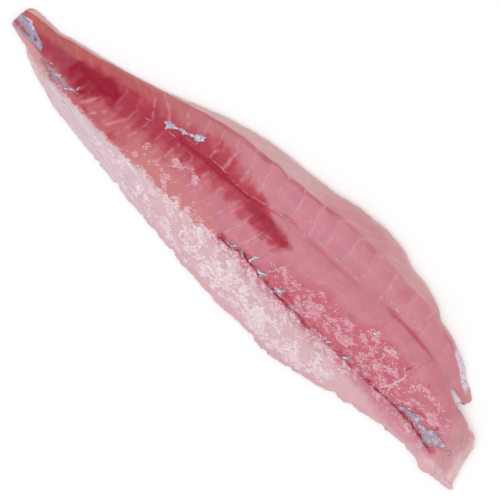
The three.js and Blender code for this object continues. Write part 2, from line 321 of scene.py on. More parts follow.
    def muscle(self, x: Grid, q: Grid, lobe: Lobe) -> Grid:
        """Height of the flesh before relief and before the edges are rounded off.

        Args:
            x: positions along the fillet, in millimetres.
            q: across values.
            lobe: which lobe.

        Returns:
            Heights, in millimetres.
        """
        bed = np.where(x > self.notch_x, self.web_z + 1, self.groove_floor(x))
        belly, back = self.belly_lobe_top(x), self.back_lobe_top(x)
        if lobe is Lobe.BELLY:
            bed = np.where(x > 96, mix(bed, belly - 1.2, smooth(97, 101, x)), bed)
        groove_sharp, seam_sharp = smooth(-75, -30, x), self.seam_sharp(x)
        flap, floor, border = self.flap_top(x), self.seam_floor(x), self.border_top(x)
        low_crest, crest = self.belly_crest, self.back_crest
        down = 1 - np.cos(np.pi / 2 * np.clip((q - crest) / (3 - crest), 0, 1))
        return np.select(
            [q < 0.6, q < 1, q < low_crest, q < 2, q < crest, q < 3],
            [mix(0.62 * flap, flap, np.sin(np.pi / 2 * np.clip(q / 0.6, 0, 1))),
             mix(floor, flap, self.climb((1 - q) / 0.4, seam_sharp)),
             mix(floor, belly, self.climb((q - 1) / (low_crest - 1), 0.5 * seam_sharp)),
             mix(bed, belly, self.climb((2 - q) / (2 - low_crest), groove_sharp)),
             mix(bed, back, self.climb((q - 2) / (crest - 2), groove_sharp)),
             mix(back, border, down)],
            mix(border, 0.5 * border, np.clip(q - 3, 0, 1) ** 1.2))

    def block_number(self, g: Grid) -> Grid:
        """Counts the muscle blocks along the fillet: whole numbers are the seams between them.

        Args:
            g: stations.

        Returns:
            The number of each point, from the block at x -3 on.
        """
        grow = np.where(g > -3, 0.19, 0.04)
        first = self.first_block
        return (np.sqrt(first**2 + 4 * grow * (g + 3)) - first) / (2 * grow)

    def web_share(self, x: Grid, y: Grid) -> Grid:
        """1 on the thin web that still joins the lobes just behind the slit.

        Args:
            x: positions along the fillet, in millimetres.
            y: positions across it.

        Returns:
            The share at each point.
        """
        along = np.clip((x - 91) / (self.notch_x - 91), 0, 1)
        away = np.abs(y - mix(9.2, 7.6, along))
        reach = 0.2 + 0.7 * along
        ahead = smooth(90.5, 93, x) * (1 - smooth(self.notch_x, self.notch_x + 0.6, x))
        return ahead * smooth(1.1, 0, away - reach)

    def edge_height(self, x: Grid, q: Grid) -> Grid:
        """Height of the outline's lip above the board.

        Args:
            x: positions along the fillet, in millimetres.
            q: across values.

        Returns:
            Heights, in millimetres.
        """
        back = self.edge_z / 2 + self.back_edge_share * self.border_top(x)
        side = mix(self.edge_z, back, smooth(2.5, 3.5, q))
        return side + 0.5 * smooth(100, 114, x) * smooth(4, 3, q)

    def round_reach(self, x: Grid, q: Grid) -> Grid:
        """How far in from the outline the top stays rounded."""
        side = mix(1.7, 2.1, smooth(2.6, 3.4, q))
        return side + 1.1 * smooth(104, 113, x) - 0.9 * smooth(84, 96, x) * smooth(1.9, 2, q)


@dataclass(frozen=True)
class SurfaceDetail:
    """Relief that the knife, the muscle and the torn membranes leave, in millimetres."""

    form: FilletForm
    furrow_depth: float = 0.16
    furrow_width: float = 0.45
    block_length: float = 7.6
    crease_depth: float = 1.0
    fibre_height: float = 0.06
    tatter_top: Line = line(
        (-66, -19), (-57, -14), (-52, -9.8), (-47, -12.5), (-43, -8), (-38, -5), (-30, -4.2),
        (-26, -7), (-22, -14), (-8, -14), (-4, -8), (2, -9), (9, -9.5), (14, -6), (20, -4.6),
        (26, -4), (31, -0.5), (40, 0.4), (46, -2), (52, 1.5), (57, 4.2), (72, 4), (78, 1),
        (88, 2.6), (97, 2.4), (103, -3))

    def ragged(self, x: Grid, seed: int) -> Grid:
        """Small tears and nicks of a cut edge, measured outwards."""
        torn = 0.26 * noise(x / 3.1, 0, seed) + 0.2 * noise(x / 1.1, 0, seed + 1)
        return torn + 0.45 * noise(x / 7.5, 0, seed + 2)

    def fray(self, x: Grid, y: Grid, g: Grid, q: Grid, lobe: Lobe) -> tuple[Grid, Grid]:
        """Moves points near the outline so that the edge is ragged.

        Args:
            x: positions along the fillet, in millimetres.
            y: positions across it.
            g: stations.
            q: across values.
            lobe: which lobe.

        Returns:
            The moved x and y.
        """
        f = self.form
        nicks = 0.7 * smooth(0.08, 0.45, noise(x / 3.6, 0, 15)) * smooth(-80, -60, x)
        y = y - (self.ragged(x, 11) - nicks) * smooth(0.2, 0, q)
        corners = 1.1 * smooth(93, 97.5, x) - 2.4 * smooth(-115.5, -120, x)
        y = y + 0.7 * self.ragged(x, 23) * smooth(3.6, 4, q) + corners * smooth(2.6, 4, q) * (q > 2)
        if lobe is Lobe.BELLY:
            x = x + 1.3 * self.ragged(y, 31) * smooth(f.head_x - 3, f.head_x, g)
            lip = smooth(f.notch_x + 1, f.notch_x + 4, x) * smooth(1.85, 2, q)
            y = y + 0.7 * self.ragged(x, 37) * lip
        x = x - 1.2 * self.ragged(y, 41) * smooth(f.tail_x + 4, f.tail_x, g)
        return x, y

    def wavering_block(self, at: Points) -> Grid:
        """The muscle block number, its seams wavering and running forward in the border."""
        forward = 9 * np.clip(at.q - 3, 0, 1) * smooth(-60, 0, at.x)
        return self.form.block_number(at.g - forward) + 0.05 * noise(at.x / 6, at.y / 4, 4)

    def from_seam(self, at: Points) -> Grid:
        """Distance to the nearest seam between two muscle blocks, in millimetres."""
        number = self.wavering_block(at)
        return np.abs(number - np.round(number)) * self.block_length

    def blocks(self, at: Points) -> Grid:
        """The swelling of the muscle blocks, with a fine furrow or ridge along each seam.

        Args:
            at: the points.

        Returns:
            Heights in millimetres.
        """
        x, y, q = at[:3]
        f = self.form
        number = self.wavering_block(at)
        swell = np.abs(np.sin(np.pi * number)) ** 0.7 - 0.6
        narrow = hill(self.from_seam(at), 0, self.furrow_width)
        where = smooth(0.85, 1.15, q) * (1 - 0.75 * smooth(3, 3.6, q))
        ridge = smooth(1.9, 1.5, q) * smooth(-92, -84, x)
        fine = narrow * mix(-self.furrow_depth, 0.2, ridge) * (0.6 + 0.6 * noise(x / 3, y / 3, 6))
        return (f.block_relief * swell + fine) * where * smooth(-112, -80, x)

    def wrinkles(self, at: Points) -> Grid:
        """The belly flap's swirling net of folds between smooth wet patches.

        Args:
            at: the points.

        Returns:
            Heights in millimetres.
        """
        x, y, q = at[:3]
        where = smooth(0.05, 0.16, q) * smooth(1.14, 1.02, q)
        where = where * smooth(-84, -44, x) * (1 - 0.6 * smooth(64, 90, x))
        wx, wy = x + 2.4 * noise(x / 5, y / 4, 51), y + 2.0 * noise(x / 4, y / 5, 52)
        swirl, finer = noise(wx / 3.2, wy / 1.8, 53), noise(wx / 1.6, wy / 1.0, 54)
        net = -hill(swirl, 0, 0.16)
        patch = 0.35 + 0.65 * smooth(-0.35, 0.3, noise(x / 10, y / 6, 55))
        return where * patch * (0.12 * swirl + 0.07 * finer + 0.09 * net)

    def tatter_share(self, at: Points) -> Grid:
        """Where torn membrane still clings to the belly lobe and roughens it.

        Args:
            at: the points.

        Returns:
            Shares from 0 to 1.
        """
        x, y, q = at[:3]
        under = smooth(0.8, -1.4, y + 1.6 * noise(x / 4, y / 4, 61) - self.tatter_top(x))
        sparse = smooth(-0.15, 0.3, noise(x / 4, y / 3, 62))
        thin = mix(0.75 * sparse, 0.45 + 0.55 * sparse, smooth(8, 16, x))
        ends = smooth(-66, -56, x) * smooth(105, 98, x)
        past = mix(0.82, 0.97, smooth(-24, -10, x))
        return under * thin * ends * smooth(past, past + 0.07, q) * (q < 2)

    def tatters(self, x: Grid, y: Grid, share: Grid) -> Grid:
        """Lumps and pits of the torn membrane.

        Args:
            x: positions along the fillet, in millimetres.
            y: positions across it.
            share: how much membrane clings there.

        Returns:
            Heights in millimetres.
        """
        wx, wy = x + 0.8 * noise(x / 2.5, y / 2.5, 63), y + 0.8 * noise(x / 2.5, y / 2.5, 64)
        swell, cells = noise(x / 4.2, y / 3, 65), noise(wx / 1.5, wy / 1.2, 66)
        return share * (0.26 * swell + 0.18 * cells + 0.07 * noise(wx / 0.8, wy / 0.8, 67))

    def crease_strength(self, x: Grid) -> Grid:
        """How marked the crease is: torn and open at its tail end, fine and broken ahead.

        Args:
            x: positions along the fillet, in millimetres.

        Returns:
            The strength, 0 to 1.
        """
        strong = mix(1.0, 0.5, smooth(26, 40, x)) + 0.5 * smooth(76, 82, x)
        uneven = 0.6 + 0.7 * noise(x / 4, 0, 71) + 0.3 * noise(x / 1.5, 0, 74)
        uneven = uneven + 0.3 * smooth(76, 82, x)
        return np.clip(strong * uneven, 0, 1) * smooth(-10, -6, x) * smooth(105, 100, x)

    def crease(self, at: Points) -> Grid:
        """The jagged crease where the flap folds against the belly lobe.

        Args:
            at: the points.

        Returns:
            Heights in millimetres.
        """
        x, y = at[:2]
        away = np.abs(y - self.crease_path(x))
        wide = mix(0.5, 0.36, smooth(30, 45, x))
        return -self.crease_depth * hill(away, 0, wide) * self.crease_strength(x)

    def crease_path(self, x: Grid) -> Grid:
        """Where the crease runs, wavering round the belly seam."""
        waver = 0.9 * noise(x / 5, 0, 72) * (1 - 0.6 * smooth(40, 60, x))
        return self.form.belly_seam(x) + waver + 0.3 * noise(x / 1.7, 0, 73)

    def channel(self, at: Points) -> Grid:
        """The narrow cut along the groove, where the backbone's ribs came away.

        Args:
            at: the points.

        Returns:
            Heights in millimetres.
        """
        x, y = at[:2]
        away = y - self.form.groove(x) + 0.7 + 0.2 * noise(x / 5, 0, 75)
        where = smooth(-48, -40, x) * smooth(16, 8, x) + 0.6 * hill(x, 63, 9)
        return -0.22 * hill(away, 0, 0.6) * where

    def fibres(self, at: Points) -> Grid:
        """Fine strands along the fillet, strongest on the flank of the tail and at the head.

        Args:
            at: the points.

        Returns:
            Heights in millimetres.
        """
        x, y, q = at[:3]
        flow = y + 0.12 * x * smooth(-60, -100, x)
        along = noise(x / 12, flow / 0.7, 81) + 0.6 * noise(x / 8, flow / 0.4, 82)
        tail = smooth(-40, -70, x) * smooth(1.1, 0.9, q)
        head = smooth(76, 96, x) * smooth(1.0, 1.2, q) * smooth(2.2, 2, q)
        return self.fibre_height * along * (0.25 + 1.2 * tail + 1.1 * head)

    def total(self, at: Points) -> Grid:
        """All relief together.

        Args:
            at: the points.

        Returns:
            Heights in millimetres.
        """
        x, y = at[:2]
        share = self.tatter_share(at)
        soft = 0.25 * layered(x / 14, y / 9, 91) + 0.04 * noise(x / 2.2, y / 1.8, 92)
        relief = self.blocks(at) + self.wrinkles(at) + self.tatters(x, y, share)
        return relief + self.crease(at) + self.channel(at) + self.fibres(at) + soft


# ---- where each colour of the flesh lies ----
@dataclass(frozen=True)
class Blot:
    """A soft oval spot, in millimetres."""

    x: float
    y: float
    long: float
    wide: float
    turn: float = 0.0
    strength: float = 1.0

    def cover(self, x: Grid, y: Grid) -> Grid:
        """How strongly the spot covers each point.

        Args:
            x: positions along the fillet, in millimetres.
            y: positions across it.

        Returns:
            The cover at each point.
        """
        c, s = math.cos(math.radians(self.turn)), math.sin(math.radians(self.turn))
        u = ((x - self.x) * c + (y - self.y) * s) / self.long
        v = ((y - self.y) * c - (x - self.x) * s) / self.wide
        return self.strength * smooth(1.25, 0.55, np.hypot(u, v))


def strongest(blots: Sequence[Blot], x: Grid, y: Grid) -> Grid:
    """The cover of whichever spot is strongest at each point."""
    return np.max([blot.cover(x, y) for blot in blots], axis=0)


def warped(at: Points, size: float, along: float, across: float, seed: int) -> tuple[Grid, Grid]:
    """Shift points by a smooth noise, so that what is laid on them gets a wavering edge.

    Args:
        at: the points.
        size: the size of one wave, in millimetres.
        along: how far x may shift.
        across: how far y may shift.
        seed: picks the pattern.

    Returns:
        The shifted x and y.
    """
    x, y = at.x / size, at.y / size
    return at.x + along * noise(x, y, seed), at.y + across * noise(x, y, seed + 1)


Spine = tuple[tuple[float, float, float], ...]  # x, y and half width at each bend, in millimetres


@dataclass(frozen=True)
class FleshZones:
    """Named zones of the flesh, each a number from 0 to 1 at every point."""

    form: FilletForm
    detail: SurfaceDetail
    seams: tuple[Spine, ...]
    blood_middle: Line = line(
        (-116, -12.6), (-95, -11.5), (-80, -8.5), (-62, -4.2), (-48, -1.4), (-35, 1.5), (-20, 2.6),
        (-5, 2), (6, 1.4), (13, 0.8))
    blood_above: Line = line(
        (-116, 1), (-106, 2), (-95, 3.4), (-85, 5.8), (-70, 7), (-56, 7), (-46, 5.6), (-36, 8.2),
        (-22, 7.2), (-14, 5.4), (-7, 4.4), (-2, 2.6), (4, 1.9), (11, 1.5), (13, 1.1))
    blood_below: Line = line(
        (-116, 0.8), (-108, 3), (-100, 4.8), (-92, 6.6), (-85, 8), (-78, 7.6), (-72, 7.4),
        (-60, 7.8), (-50, 8.8), (-40, 8.4), (-30, 8), (-20, 7.6), (-8, 6.4), (4, 4.4), (9, 3.4),
        (13, 2))
    clots: tuple[Spine, ...] = (
        ((-89, -9.8, 2.4), (-86, -10.2, 3.6), (-82, -9.6, 3.8), (-77, -7.2, 3.3),
            (-73.4, -7.4, 2.4)),
        ((-87.5, -11.6, 2), (-86.5, -13.8, 1)),
        ((-90, -12.6, 1.2), (-84, -13.4, 1.4), (-79, -12.4, 0.8)),
        ((-81.5, -10.5, 2.4), (-81, -14, 1.5), (-82, -16.4, 0.5)),
        ((-75.6, -9, 1.8), (-76.6, -12, 0.6)), ((-71, -8.2, 0.5), (-70.4, -10.5, 0.3)),
        ((-8, 1.2, 0.7), (-4.6, 1.4, 1.5), (-1.6, 1.5, 1), (2.8, 1.6, 1.5), (8, 1.6, 1),
            (11.6, 1.3, 0.6)),
        ((11.2, 0.5, 0.4), (10.7, -1.8, 0.3), (9.9, -3.6, 0)), ((-4, 0, 0.9), (-4.3, -2, 0.3)),
        ((3, 0, 0.9), (2.3, -3.2, 0.4)), ((-43.6, 0, 0.5), (-41.4, -0.2, 0.4)))
    crack: Spine = (
        (-43.6, -0.1, 0.9), (-40, -0.3, 0.2), (-34, 0.9, 0.6), (-28, 1.6, 1.0), (-24, 2, 0.9),
        (-18, 2.2, 0.4), (-12, 3, 0.3), (-5, 4.7, 0.05))
    # Painted highlights: where the glints cluster on the belly lobe and the flap.
    glints: tuple[Blot, ...] = (
        Blot(-51, -14, 2, 3.2, -10, 0.9), Blot(-46.5, -17.4, 2.2, 2.4, 0, 0.8),
        Blot(-38, -7.6, 4, 2, 50, 0.7), Blot(-36, -14, 2.4, 3.4, -20, 0.7),
        Blot(-28.6, -6.4, 2.6, 2.4, 0, 0.7), Blot(-25, -16, 1.4, 2, 0, 0.8),
        Blot(-18, -15.6, 1.4, 1.8, 0, 0.9), Blot(-12.6, -17, 3, 1.4, 0, 0.9),
        Blot(16, -7, 2, 3, -20, 0.7), Blot(24, -7.4, 3, 2.4), Blot(34.4, -7, 4.6, 3.2),
        Blot(33, -2.4, 2.6, 1.2, 0, 0.7), Blot(44.6, -7, 4.4, 2.8), Blot(52, -6.6, 4, 2.8, 0, 0.9),
        Blot(55, -1.6, 3, 2, 0, 0.6), Blot(58, 1.6, 3, 1.8, 0, 0.8), Blot(65, 2.4, 4, 1.6, 0, 0.7),
        Blot(61, -7.4, 3, 2.4), Blot(66.4, -4, 2.8, 3.6), Blot(72, -2, 1.4, 2.6, -20, 0.7),
        Blot(82, -1, 1.6, 2.4, 0, 0.7), Blot(87, 1.4, 3.4, 1, 0, 0.9),
        Blot(94, -4.4, 3.4, 1.8, 0, 0.9), Blot(100, -0.6, 2, 2.6, 0, 0.7),
        Blot(-38, -25.4, 4, 2, 0, 0.8), Blot(-26, -26, 3, 2.4, 0, 0.8), Blot(-14, -21.4, 5, 3),
        Blot(4, -25, 5, 5), Blot(-4, -28, 3, 1.8, 0, 0.9), Blot(13, -22, 4, 3.6),
        Blot(23, -25, 4, 4), Blot(30, -22, 3, 3, 0, 0.9), Blot(35, -27, 4, 2.2, 0, 0.8),
        Blot(47, -25, 5, 2.6), Blot(55, -24, 3, 1.8, 0, 0.8), Blot(-31, -21, 6, 1.6, 0, 0.5),
        Blot(0, -18.6, 4, 1.6, 0, 0.8), Blot(52, -14.6, 4, 1), Blot(58.6, -15.4, 3, 1.8),
        Blot(93, -12.6, 4, 1.3), Blot(36, -15, 5, 1, 0, 0.8))
    # Painted highlights: the bright specks beside the groove.
    bright_specks: tuple[Blot, ...] = (
        Blot(60, 14.8, 13, 1.5, 1), Blot(13, 12.8, 4.5, 2.4, 0, 0.8),
        Blot(26, 11.8, 15, 0.9, 0, 0.8), Blot(69, 18.6, 1.6, 2, 0, 0.7),
        Blot(76, 6, 3.4, 1.6, 35, 0.8), Blot(44.6, 8.6, 2.2, 0.8, 45, 0.7))
    border_start: Line = line(
        (-120, 2.5), (-115, 2.8), (-108, 2.95), (-100, 3.25), (-88, 3.35), (-80, 3.7), (-62, 3.75),
        (-54, 3.3), (-46, 3), (-40, 2.97))
    flank_top: Line = line(
        (-120, -16.6), (-112, -17.6), (-104, -19.4), (-95, -20.8), (-86, -20.2), (-60, -19.8),
        (-40, -19), (-20, -17.8), (-8, -16.6))
    tab_skin_start: Line = line(
        (81, 19.6), (83, 18.7), (86, 17.2), (90, 14.9), (93, 12.9), (96.4, 11.8), (99, 9.9))
    stains: tuple[Blot, ...] = (
        Blot(-63, -18, 1.6, 2.2, 0, 0.7), Blot(-76.6, -18.6, 2.4, 1.0, 0, 0.6),
        Blot(-32, 7.6, 1.6, 2.4, 0, 0.6), Blot(-24, 6.6, 1.4, 3.2, 0, 0.7),
        Blot(-16, 7.4, 1, 2.6, 0, 0.45), Blot(-9, 5.6, 5, 1.4, 8, 0.7),
        Blot(-7.5, -14.4, 2.4, 1.8, 0, 0.8), Blot(4, -13, 3.4, 1.8, 0, 0.7),
        Blot(26, -11.6, 3, 1.2, 0, 0.7), Blot(42, -12, 4, 0.9, 0, 0.5),
        Blot(54, -11.6, 3.4, 1, 0, 0.6), Blot(63, 3, 3, 1.2, 10, 0.4),
        Blot(74.6, 2.6, 0.6, 2.0, -8, 0.75), Blot(84, 3.6, 0.7, 1, 0, 0.35),
        Blot(83.4, -8.6, 1.8, 0.8, 25, 0.9), Blot(90, -10.2, 5, 0.5, 0, 0.6),
        Blot(102.6, -11.6, 2.6, 1.2, -12, 0.45), Blot(90, -5.6, 4, 0.6, 10, 0.5),
        Blot(97.6, -5.4, 1.6, 0.8, 50, 0.6), Blot(53.6, 19.4, 3.2, 2.6, 0, 0.2),
        Blot(13, 22, 2.4, 2, 0, 0.2), Blot(23, 23, 3.4, 1, 0, 0.25),
        Blot(33, 22.6, 2.6, 1.6, 0, 0.25), Blot(77.4, 20.8, 5, 0.6, -16, 0.4),
        Blot(46.6, 0.4, 2, 1.4, 0, 0.3), Blot(-5.5, 1.2, 1.2, 1.0, 0, 0.4),
        Blot(70, -11.3, 5, 0.7, -3, 0.75), Blot(-84.6, -22.5, 1, 0.3, 0, 0.9),
        Blot(-8, 6, 4, 2, 10, 0.35))

    def veil(self, at: Points) -> Grid:
        """Soft pale lines where the seams between the muscle blocks show through.

        Args:
            at: the points.

        Returns:
            Shares from 0 to 1.
        """
        x, y = at[:2]
        wx = x + 0.5 * noise(x / 2.2, y / 2.2, 140)
        found = np.zeros_like(x)
        for seam in self.seams:
            away, half = near_path(wx, y, seam)
            strong = np.clip(half / 0.22, 0.25, 1.3)
            found = np.maximum(found, smooth(0.55, -0.05, away - half) * strong)
        return found * np.clip(0.65 + 1.1 * noise(x / 2.4, y / 2.4, 141), 0, 1)

    def glint(self, at: Points) -> Grid:
        """Where the painted highlights cluster, and the flesh is wettest."""
        return strongest(self.glints, *warped(at, 4, 1.6, 1.2, 143))

    def belly_wet_and_glint(self, at: Points) -> Grid:
        """How much torn membrane and water cover the belly lobe, shown as painted highlights and a
        wetter coat.

        Args:
            at: the points.

        Returns:
            Shares from 0 to 1.
        """
        torn = self.detail.tatter_share(at)
        raw = np.clip(1 - self.stain(at), 0, 1)
        return np.clip(0.46 * torn + 0.62 * self.glint(at) * smooth(0, 0.25, torn), 0, 1) * raw

    def sparkle(self, at: Points) -> Grid:
        """The small bright specks beside the groove: painted highlights."""
        return strongest(self.bright_specks, at.x, at.y)

    def blood(self, at: Points) -> Grid:
        """The broad dark red blood line of the tail half, drawn out a little in every block.

        Args:
            at: the points.

        Returns:
            Shares from 0 to 1.
        """
        x, y, g = at.x, at.y, at.g
        wx = x + 1.8 * noise(x / 7, y / 7, 101)
        off = y - self.blood_middle(wx) + 0.8 * noise(x / 4, y / 6, 102)
        above, below = self.blood_above(wx), self.blood_below(wx)
        t = np.where(off > 0, off / np.maximum(above, 0.5), -off / np.maximum(below, 0.5))
        ahead = smooth(10.8, 13, x + 0.3 * y + 1.2 * noise(x / 3, y / 2, 149))
        ends = smooth(-118, -104, x) * (1 - ahead)
        turn = self.form.block_number(g)
        drawn = 0.1 * np.cos(2 * np.pi * (turn - 0.35)) * (off < 0)
        streak = 0.12 * noise(x / 1.5, y / 3, 103) + 0.26 * noise(x / 3.8, y / 2.8, 130)
        fleck = 0.14 * noise(x / 1.4, y / 1.2, 139)
        return smooth(1.6, 0.05, t + streak + fleck - drawn) * ends * (1 - 0.25 * hill(x, -16, 8))

    def clot(self, at: Points) -> Grid:
        """The deepest red: clots and the thin crack beside the groove.

        Args:
            at: the points.

        Returns:
            Shares from 0 to 1.
        """
        x, y = at[:2]
        wx, wy = warped(at, 2.6, 1.4, 1.3, 104)
        found = np.zeros_like(x)
        for spine in self.clots:
            away, half = near_path(wx, wy, spine)
            found = np.maximum(found, smooth(2.0, -1.1, away - half))
        away, half = near_path(x, y + 0.3 * noise(x / 2.5, y / 2, 106), self.crack)
        clots = found * (0.92 + 0.3 * noise(x / 2, y / 2, 131)) * (1 - 0.3 * smooth(-16, -9, x))
        return np.clip(np.maximum(clots, 0.7 * smooth(0.6, -0.1, away - half)), 0, 1)

    def stain(self, at: Points) -> Grid:
        """Small red stains and bruises elsewhere."""
        return strongest(self.stains, *warped(at, 2, 0.7, 0.6, 120))

    def tail_dull(self, at: Points) -> Grid:
        """Where a haze of membrane dulls the blood of the tail.

        Args:
            at: the points.

        Returns:
            Shares from 0 to 1.
        """
        x, y = at[:2]
        wx, wy = x + 2 * noise(x / 4, y / 3, 145), y + 1.2 * noise(x / 3, y / 3, 146)
        near = np.hypot((wx + 97.5) / 8.5, (wy + 11.6) / 4.6)
        return smooth(1.3, 0.3, near) * np.clip(0.8 + 0.8 * noise(x / 1.6, y / 1.4, 147), 0, 1)

    def channel(self, at: Points) -> Grid:
        """A red flush along the groove, behind and ahead.

        Args:
            at: the points.

        Returns:
            Shares from 0 to 1.
        """
        x, y = at[:2]
        off = y - self.form.groove(x) + 0.4 + 0.4 * noise(x / 6, y / 3, 122)
        behind = hill(off, 0, 0.8) * smooth(-14, -4, x) * smooth(12, 6, x) * 0.55
        low = hill(off, -1.4, 0.8) * smooth(12, 18, x) * smooth(44, 34, x) * 0.32
        ahead = hill(off, 0, 0.8) * smooth(46, 60, x) * smooth(82, 72, x) * 0.72
        return np.clip(behind + low + ahead, 0, 1)

    def crease_red(self, at: Points) -> Grid:
        """The raw red edge just above the belly crease.

        Args:
            at: the points.

        Returns:
            Shares from 0 to 1.
        """
        x, y = at[:2]
        off = y - self.detail.crease_path(x)
        near = smooth(2.6, 0.2, off + 0.9 * noise(x / 2.2, y / 2.2, 107)) * smooth(-1.3, -0.2, off)
        most = mix(0.5, 0.3, smooth(26, 36, x))
        uneven = most + (1 - most) * smooth(-0.2, 0.4, noise(x / 3.5, y / 3.5, 108))
        uneven = uneven * (1 - 0.25 * smooth(34, 44, x))
        return near * uneven * smooth(-10, -6, x) * smooth(106, 101, x)

    def crease_dark(self, at: Points) -> Grid:
        """The shadowed line at the bottom of the crease.

        Args:
            at: the points.

        Returns:
            Shares from 0 to 1.
        """
        x, y = at[:2]
        away = np.abs(y - self.detail.crease_path(x)) + 0.2 * noise(x, y, 123)
        broken = smooth(-0.5, 0.2, noise(x / 2.6, 0, 137)) * (1 - 0.25 * smooth(30, 40, x))
        return smooth(0.44, 0.08, away) * broken * smooth(0.1, 0.45, self.detail.crease_strength(x))

    def flap(self, at: Points) -> Grid:
        """The pale belly flap and the pale flank of the tail.

        Args:
            at: the points.

        Returns:
            Shares from 0 to 1.
        """
        x, y, q = at[:3]
        soft = 1.3 * noise(x / 3.5, y / 2.5, 111) + 0.8 * noise(x / 1.4, y / 1.2, 132)
        feather = 0.35 * noise(x / 3.5, y / 2.5, 111) + 0.9 * noise(x / 1.2, y / 0.8, 142)
        pale_side = smooth(0.8, -1.0, y + feather - self.flank_top(x))
        top = mix(-14.2, -12.6, smooth(30, 60, x))
        fold = smooth(top - 0.4, top - 5, y + soft) * (1 - 0.12 * smooth(62, 90, x))
        return mix(pale_side, fold, smooth(-16, -6, x)) * smooth(1.5, 1.2, q)

    def flap_wet_and_glint(self, at: Points) -> Grid:
        """How much of the flap lies under a smooth film of water, shown as painted highlights and a
        wetter coat.

        Args:
            at: the points.

        Returns:
            Shares from 0 to 1.
        """
        x, q = at.x, at.q
        spots = 0.5 + 0.5 * self.glint(at)
        along = 0.45 * smooth(-76, -60, x) + 0.25 * smooth(-56, -30, x) + 0.3 * smooth(-24, -8, x)
        along = along * (1 - 0.35 * smooth(44, 56, x)) * (1 - 0.85 * smooth(57, 66, x))
        return along * spots * smooth(0.06, 0.16, q) * smooth(1.1, 0.94, q)

    def fold(self, at: Points) -> Grid:
        """The wet strip just under the crease, wrinkled across: pinker flesh with painted
        highlights.

        Args:
            at: the points.

        Returns:
            Shares from 0 to 1.
        """
        x, y = at[:2]
        off = y - self.detail.crease_path(x) + 0.6 * noise(x / 2, y / 2, 133)
        deep = mix(4.6, 3.4, smooth(50, 70, x))
        strip = smooth(1.8, 0.6, off) * smooth(-deep - 0.8, -deep + 1.2, off)
        return strip * smooth(-12, -5, x) * smooth(104, 97, x)

    def tail_low(self, at: Points) -> Grid:
        """The tan strip under the torn films of the tail.

        Args:
            at: the points.

        Returns:
            Shares from 0 to 1.
        """
        x, y = at[:2]
        y = y + 0.5 * noise(x / 3, y / 2, 134)
        above = smooth(-1.2, 0.3, y - self.flank_top(x))
        return smooth(-15.6, -16.8, y) * smooth(-84, -92, x) * above

    def rim(self, at: Points) -> Grid:
        """The thin, smooth outer rim of the belly flap."""
        x, y, q = at[:3]
        return smooth(0.14, 0.06, q + 0.03 * noise(x / 4, y / 4, 124)) * smooth(-20, 0, x)

    def head_rim(self, at: Points) -> Grid:
        """The thin grey-pink rim along the head cut, and the pale corner below it.

        Args:
            at: the points.

        Returns:
            Shares from 0 to 1.
        """
        x, y, q = at[:3]
        cut = 116.4 - 0.19 * (y + 10) + 0.8 * noise(x / 2, y / 2, 135)
        corner = smooth(-12.6, -16, y + noise(x / 3, y / 3, 138)) * smooth(96, 104, x)
        along = smooth(-6.4, -1.6, x - cut + 0.8 * noise(x / 1.2, y / 5, 148))
        return np.maximum(along, corner) * (q < 2)

    def border(self, at: Points) -> Grid:
        """The thin, translucent border of the back lobe.

        Args:
            at: the points.

        Returns:
            Shares from 0 to 1.
        """
        x, y, q = at[:3]
        start = self.border_start(x)
        edge = smooth(start, start + 0.12, q + 0.09 * noise(x / 5, y / 5, 112))
        share = 1 - 0.75 * smooth(-4, 22, x) + 0.3 * smooth(34, 44, x) * smooth(66, 58, x)
        return edge * share + 0.35 * smooth(3.6, 3.9, q) * smooth(0, 30, x)

    def border_line(self, at: Points) -> Grid:
        """The thin brownish red line where the border starts.

        Args:
            at: the points.

        Returns:
            Shares from 0 to 1.
        """
        x, y, q = at[:3]
        away = np.abs(q - self.border_start(x) - 0.01 + 0.09 * noise(x / 5, y / 5, 112))
        thin = smooth(0.1, 0.02, away) * smooth(22, 8, x) * smooth(-60, -52, x)
        return thin * np.clip(0.7 + 0.6 * noise(x / 5, y / 5, 114), 0, 1)

    def tab_skin(self, at: Points) -> Grid:
        """The strip of pale skin left on the edge of the tab.

        Args:
            at: the points.

        Returns:
            Shares from 0 to 1.
        """
        x, y = at[:2]
        inner = self.tab_skin_start(x)
        inside = smooth(-0.15, 0.25, y - inner + 0.3 * noise(x / 1.4, y / 1.4, 115))
        fade = 1 - smooth(0.3, 0.9, y - inner) * smooth(95.6, 96.6, x)
        start = smooth(81.8, 82.8, x + 0.5 * noise(x, y / 1.3, 116))
        return inside * start * fade * smooth(97.2, 96.4, x)

    def tail_tan(self, at: Points) -> Grid:
        """Where the flesh of the tail turns from pink to tan."""
        return smooth(-14, -78, at.x) * smooth(0.95, 1.2, at.q)

    def low_red(self, at: Points) -> Grid:
        """The streaky red lower part of the belly lobe beside the clots."""
        low = smooth(-12, -15, at.y + 0.8 * noise(at.x / 5, at.y / 5, 125))
        return low * smooth(-96, -86, at.x) * smooth(-48, -62, at.x) * smooth(0.7, 0.9, at.q)

    def salmon(self, at: Points) -> Grid:
        """The salmon-coloured lower part of the belly lobe behind the open crease."""
        low = smooth(-9.5, -13.5, at.y + 0.8 * noise(at.x / 5, at.y / 5, 125))
        return low * smooth(-62, -48, at.x) * smooth(-6, -14, at.x) * smooth(0.7, 0.9, at.q)

    def lower_belly(self, at: Points) -> Grid:
        """The redder lower half of the belly lobe.

        Args:
            at: the points.

        Returns:
            Shares from 0 to 1.
        """
        x, y, q = at[:3]
        top = self.detail.tatter_top(x)
        t = smooth(3.5, -2.5, y - top + 1.2 * noise(x / 6, y / 6, 117)) * smooth(1.0, 1.05, q)
        return t * smooth(6, 16, x) * smooth(106, 97, x) * (1 - 0.45 * smooth(74, 84, x)) * (q < 2)

    def ahead_pink(self, at: Points) -> Grid:
        """Where the flap turns pinker toward the head."""
        return smooth(52, 84, at.x)

    def behind_grey(self, at: Points) -> Grid:
        """Where the flap turns lilac-grey toward the tail."""
        return smooth(-24, -56, at.x)

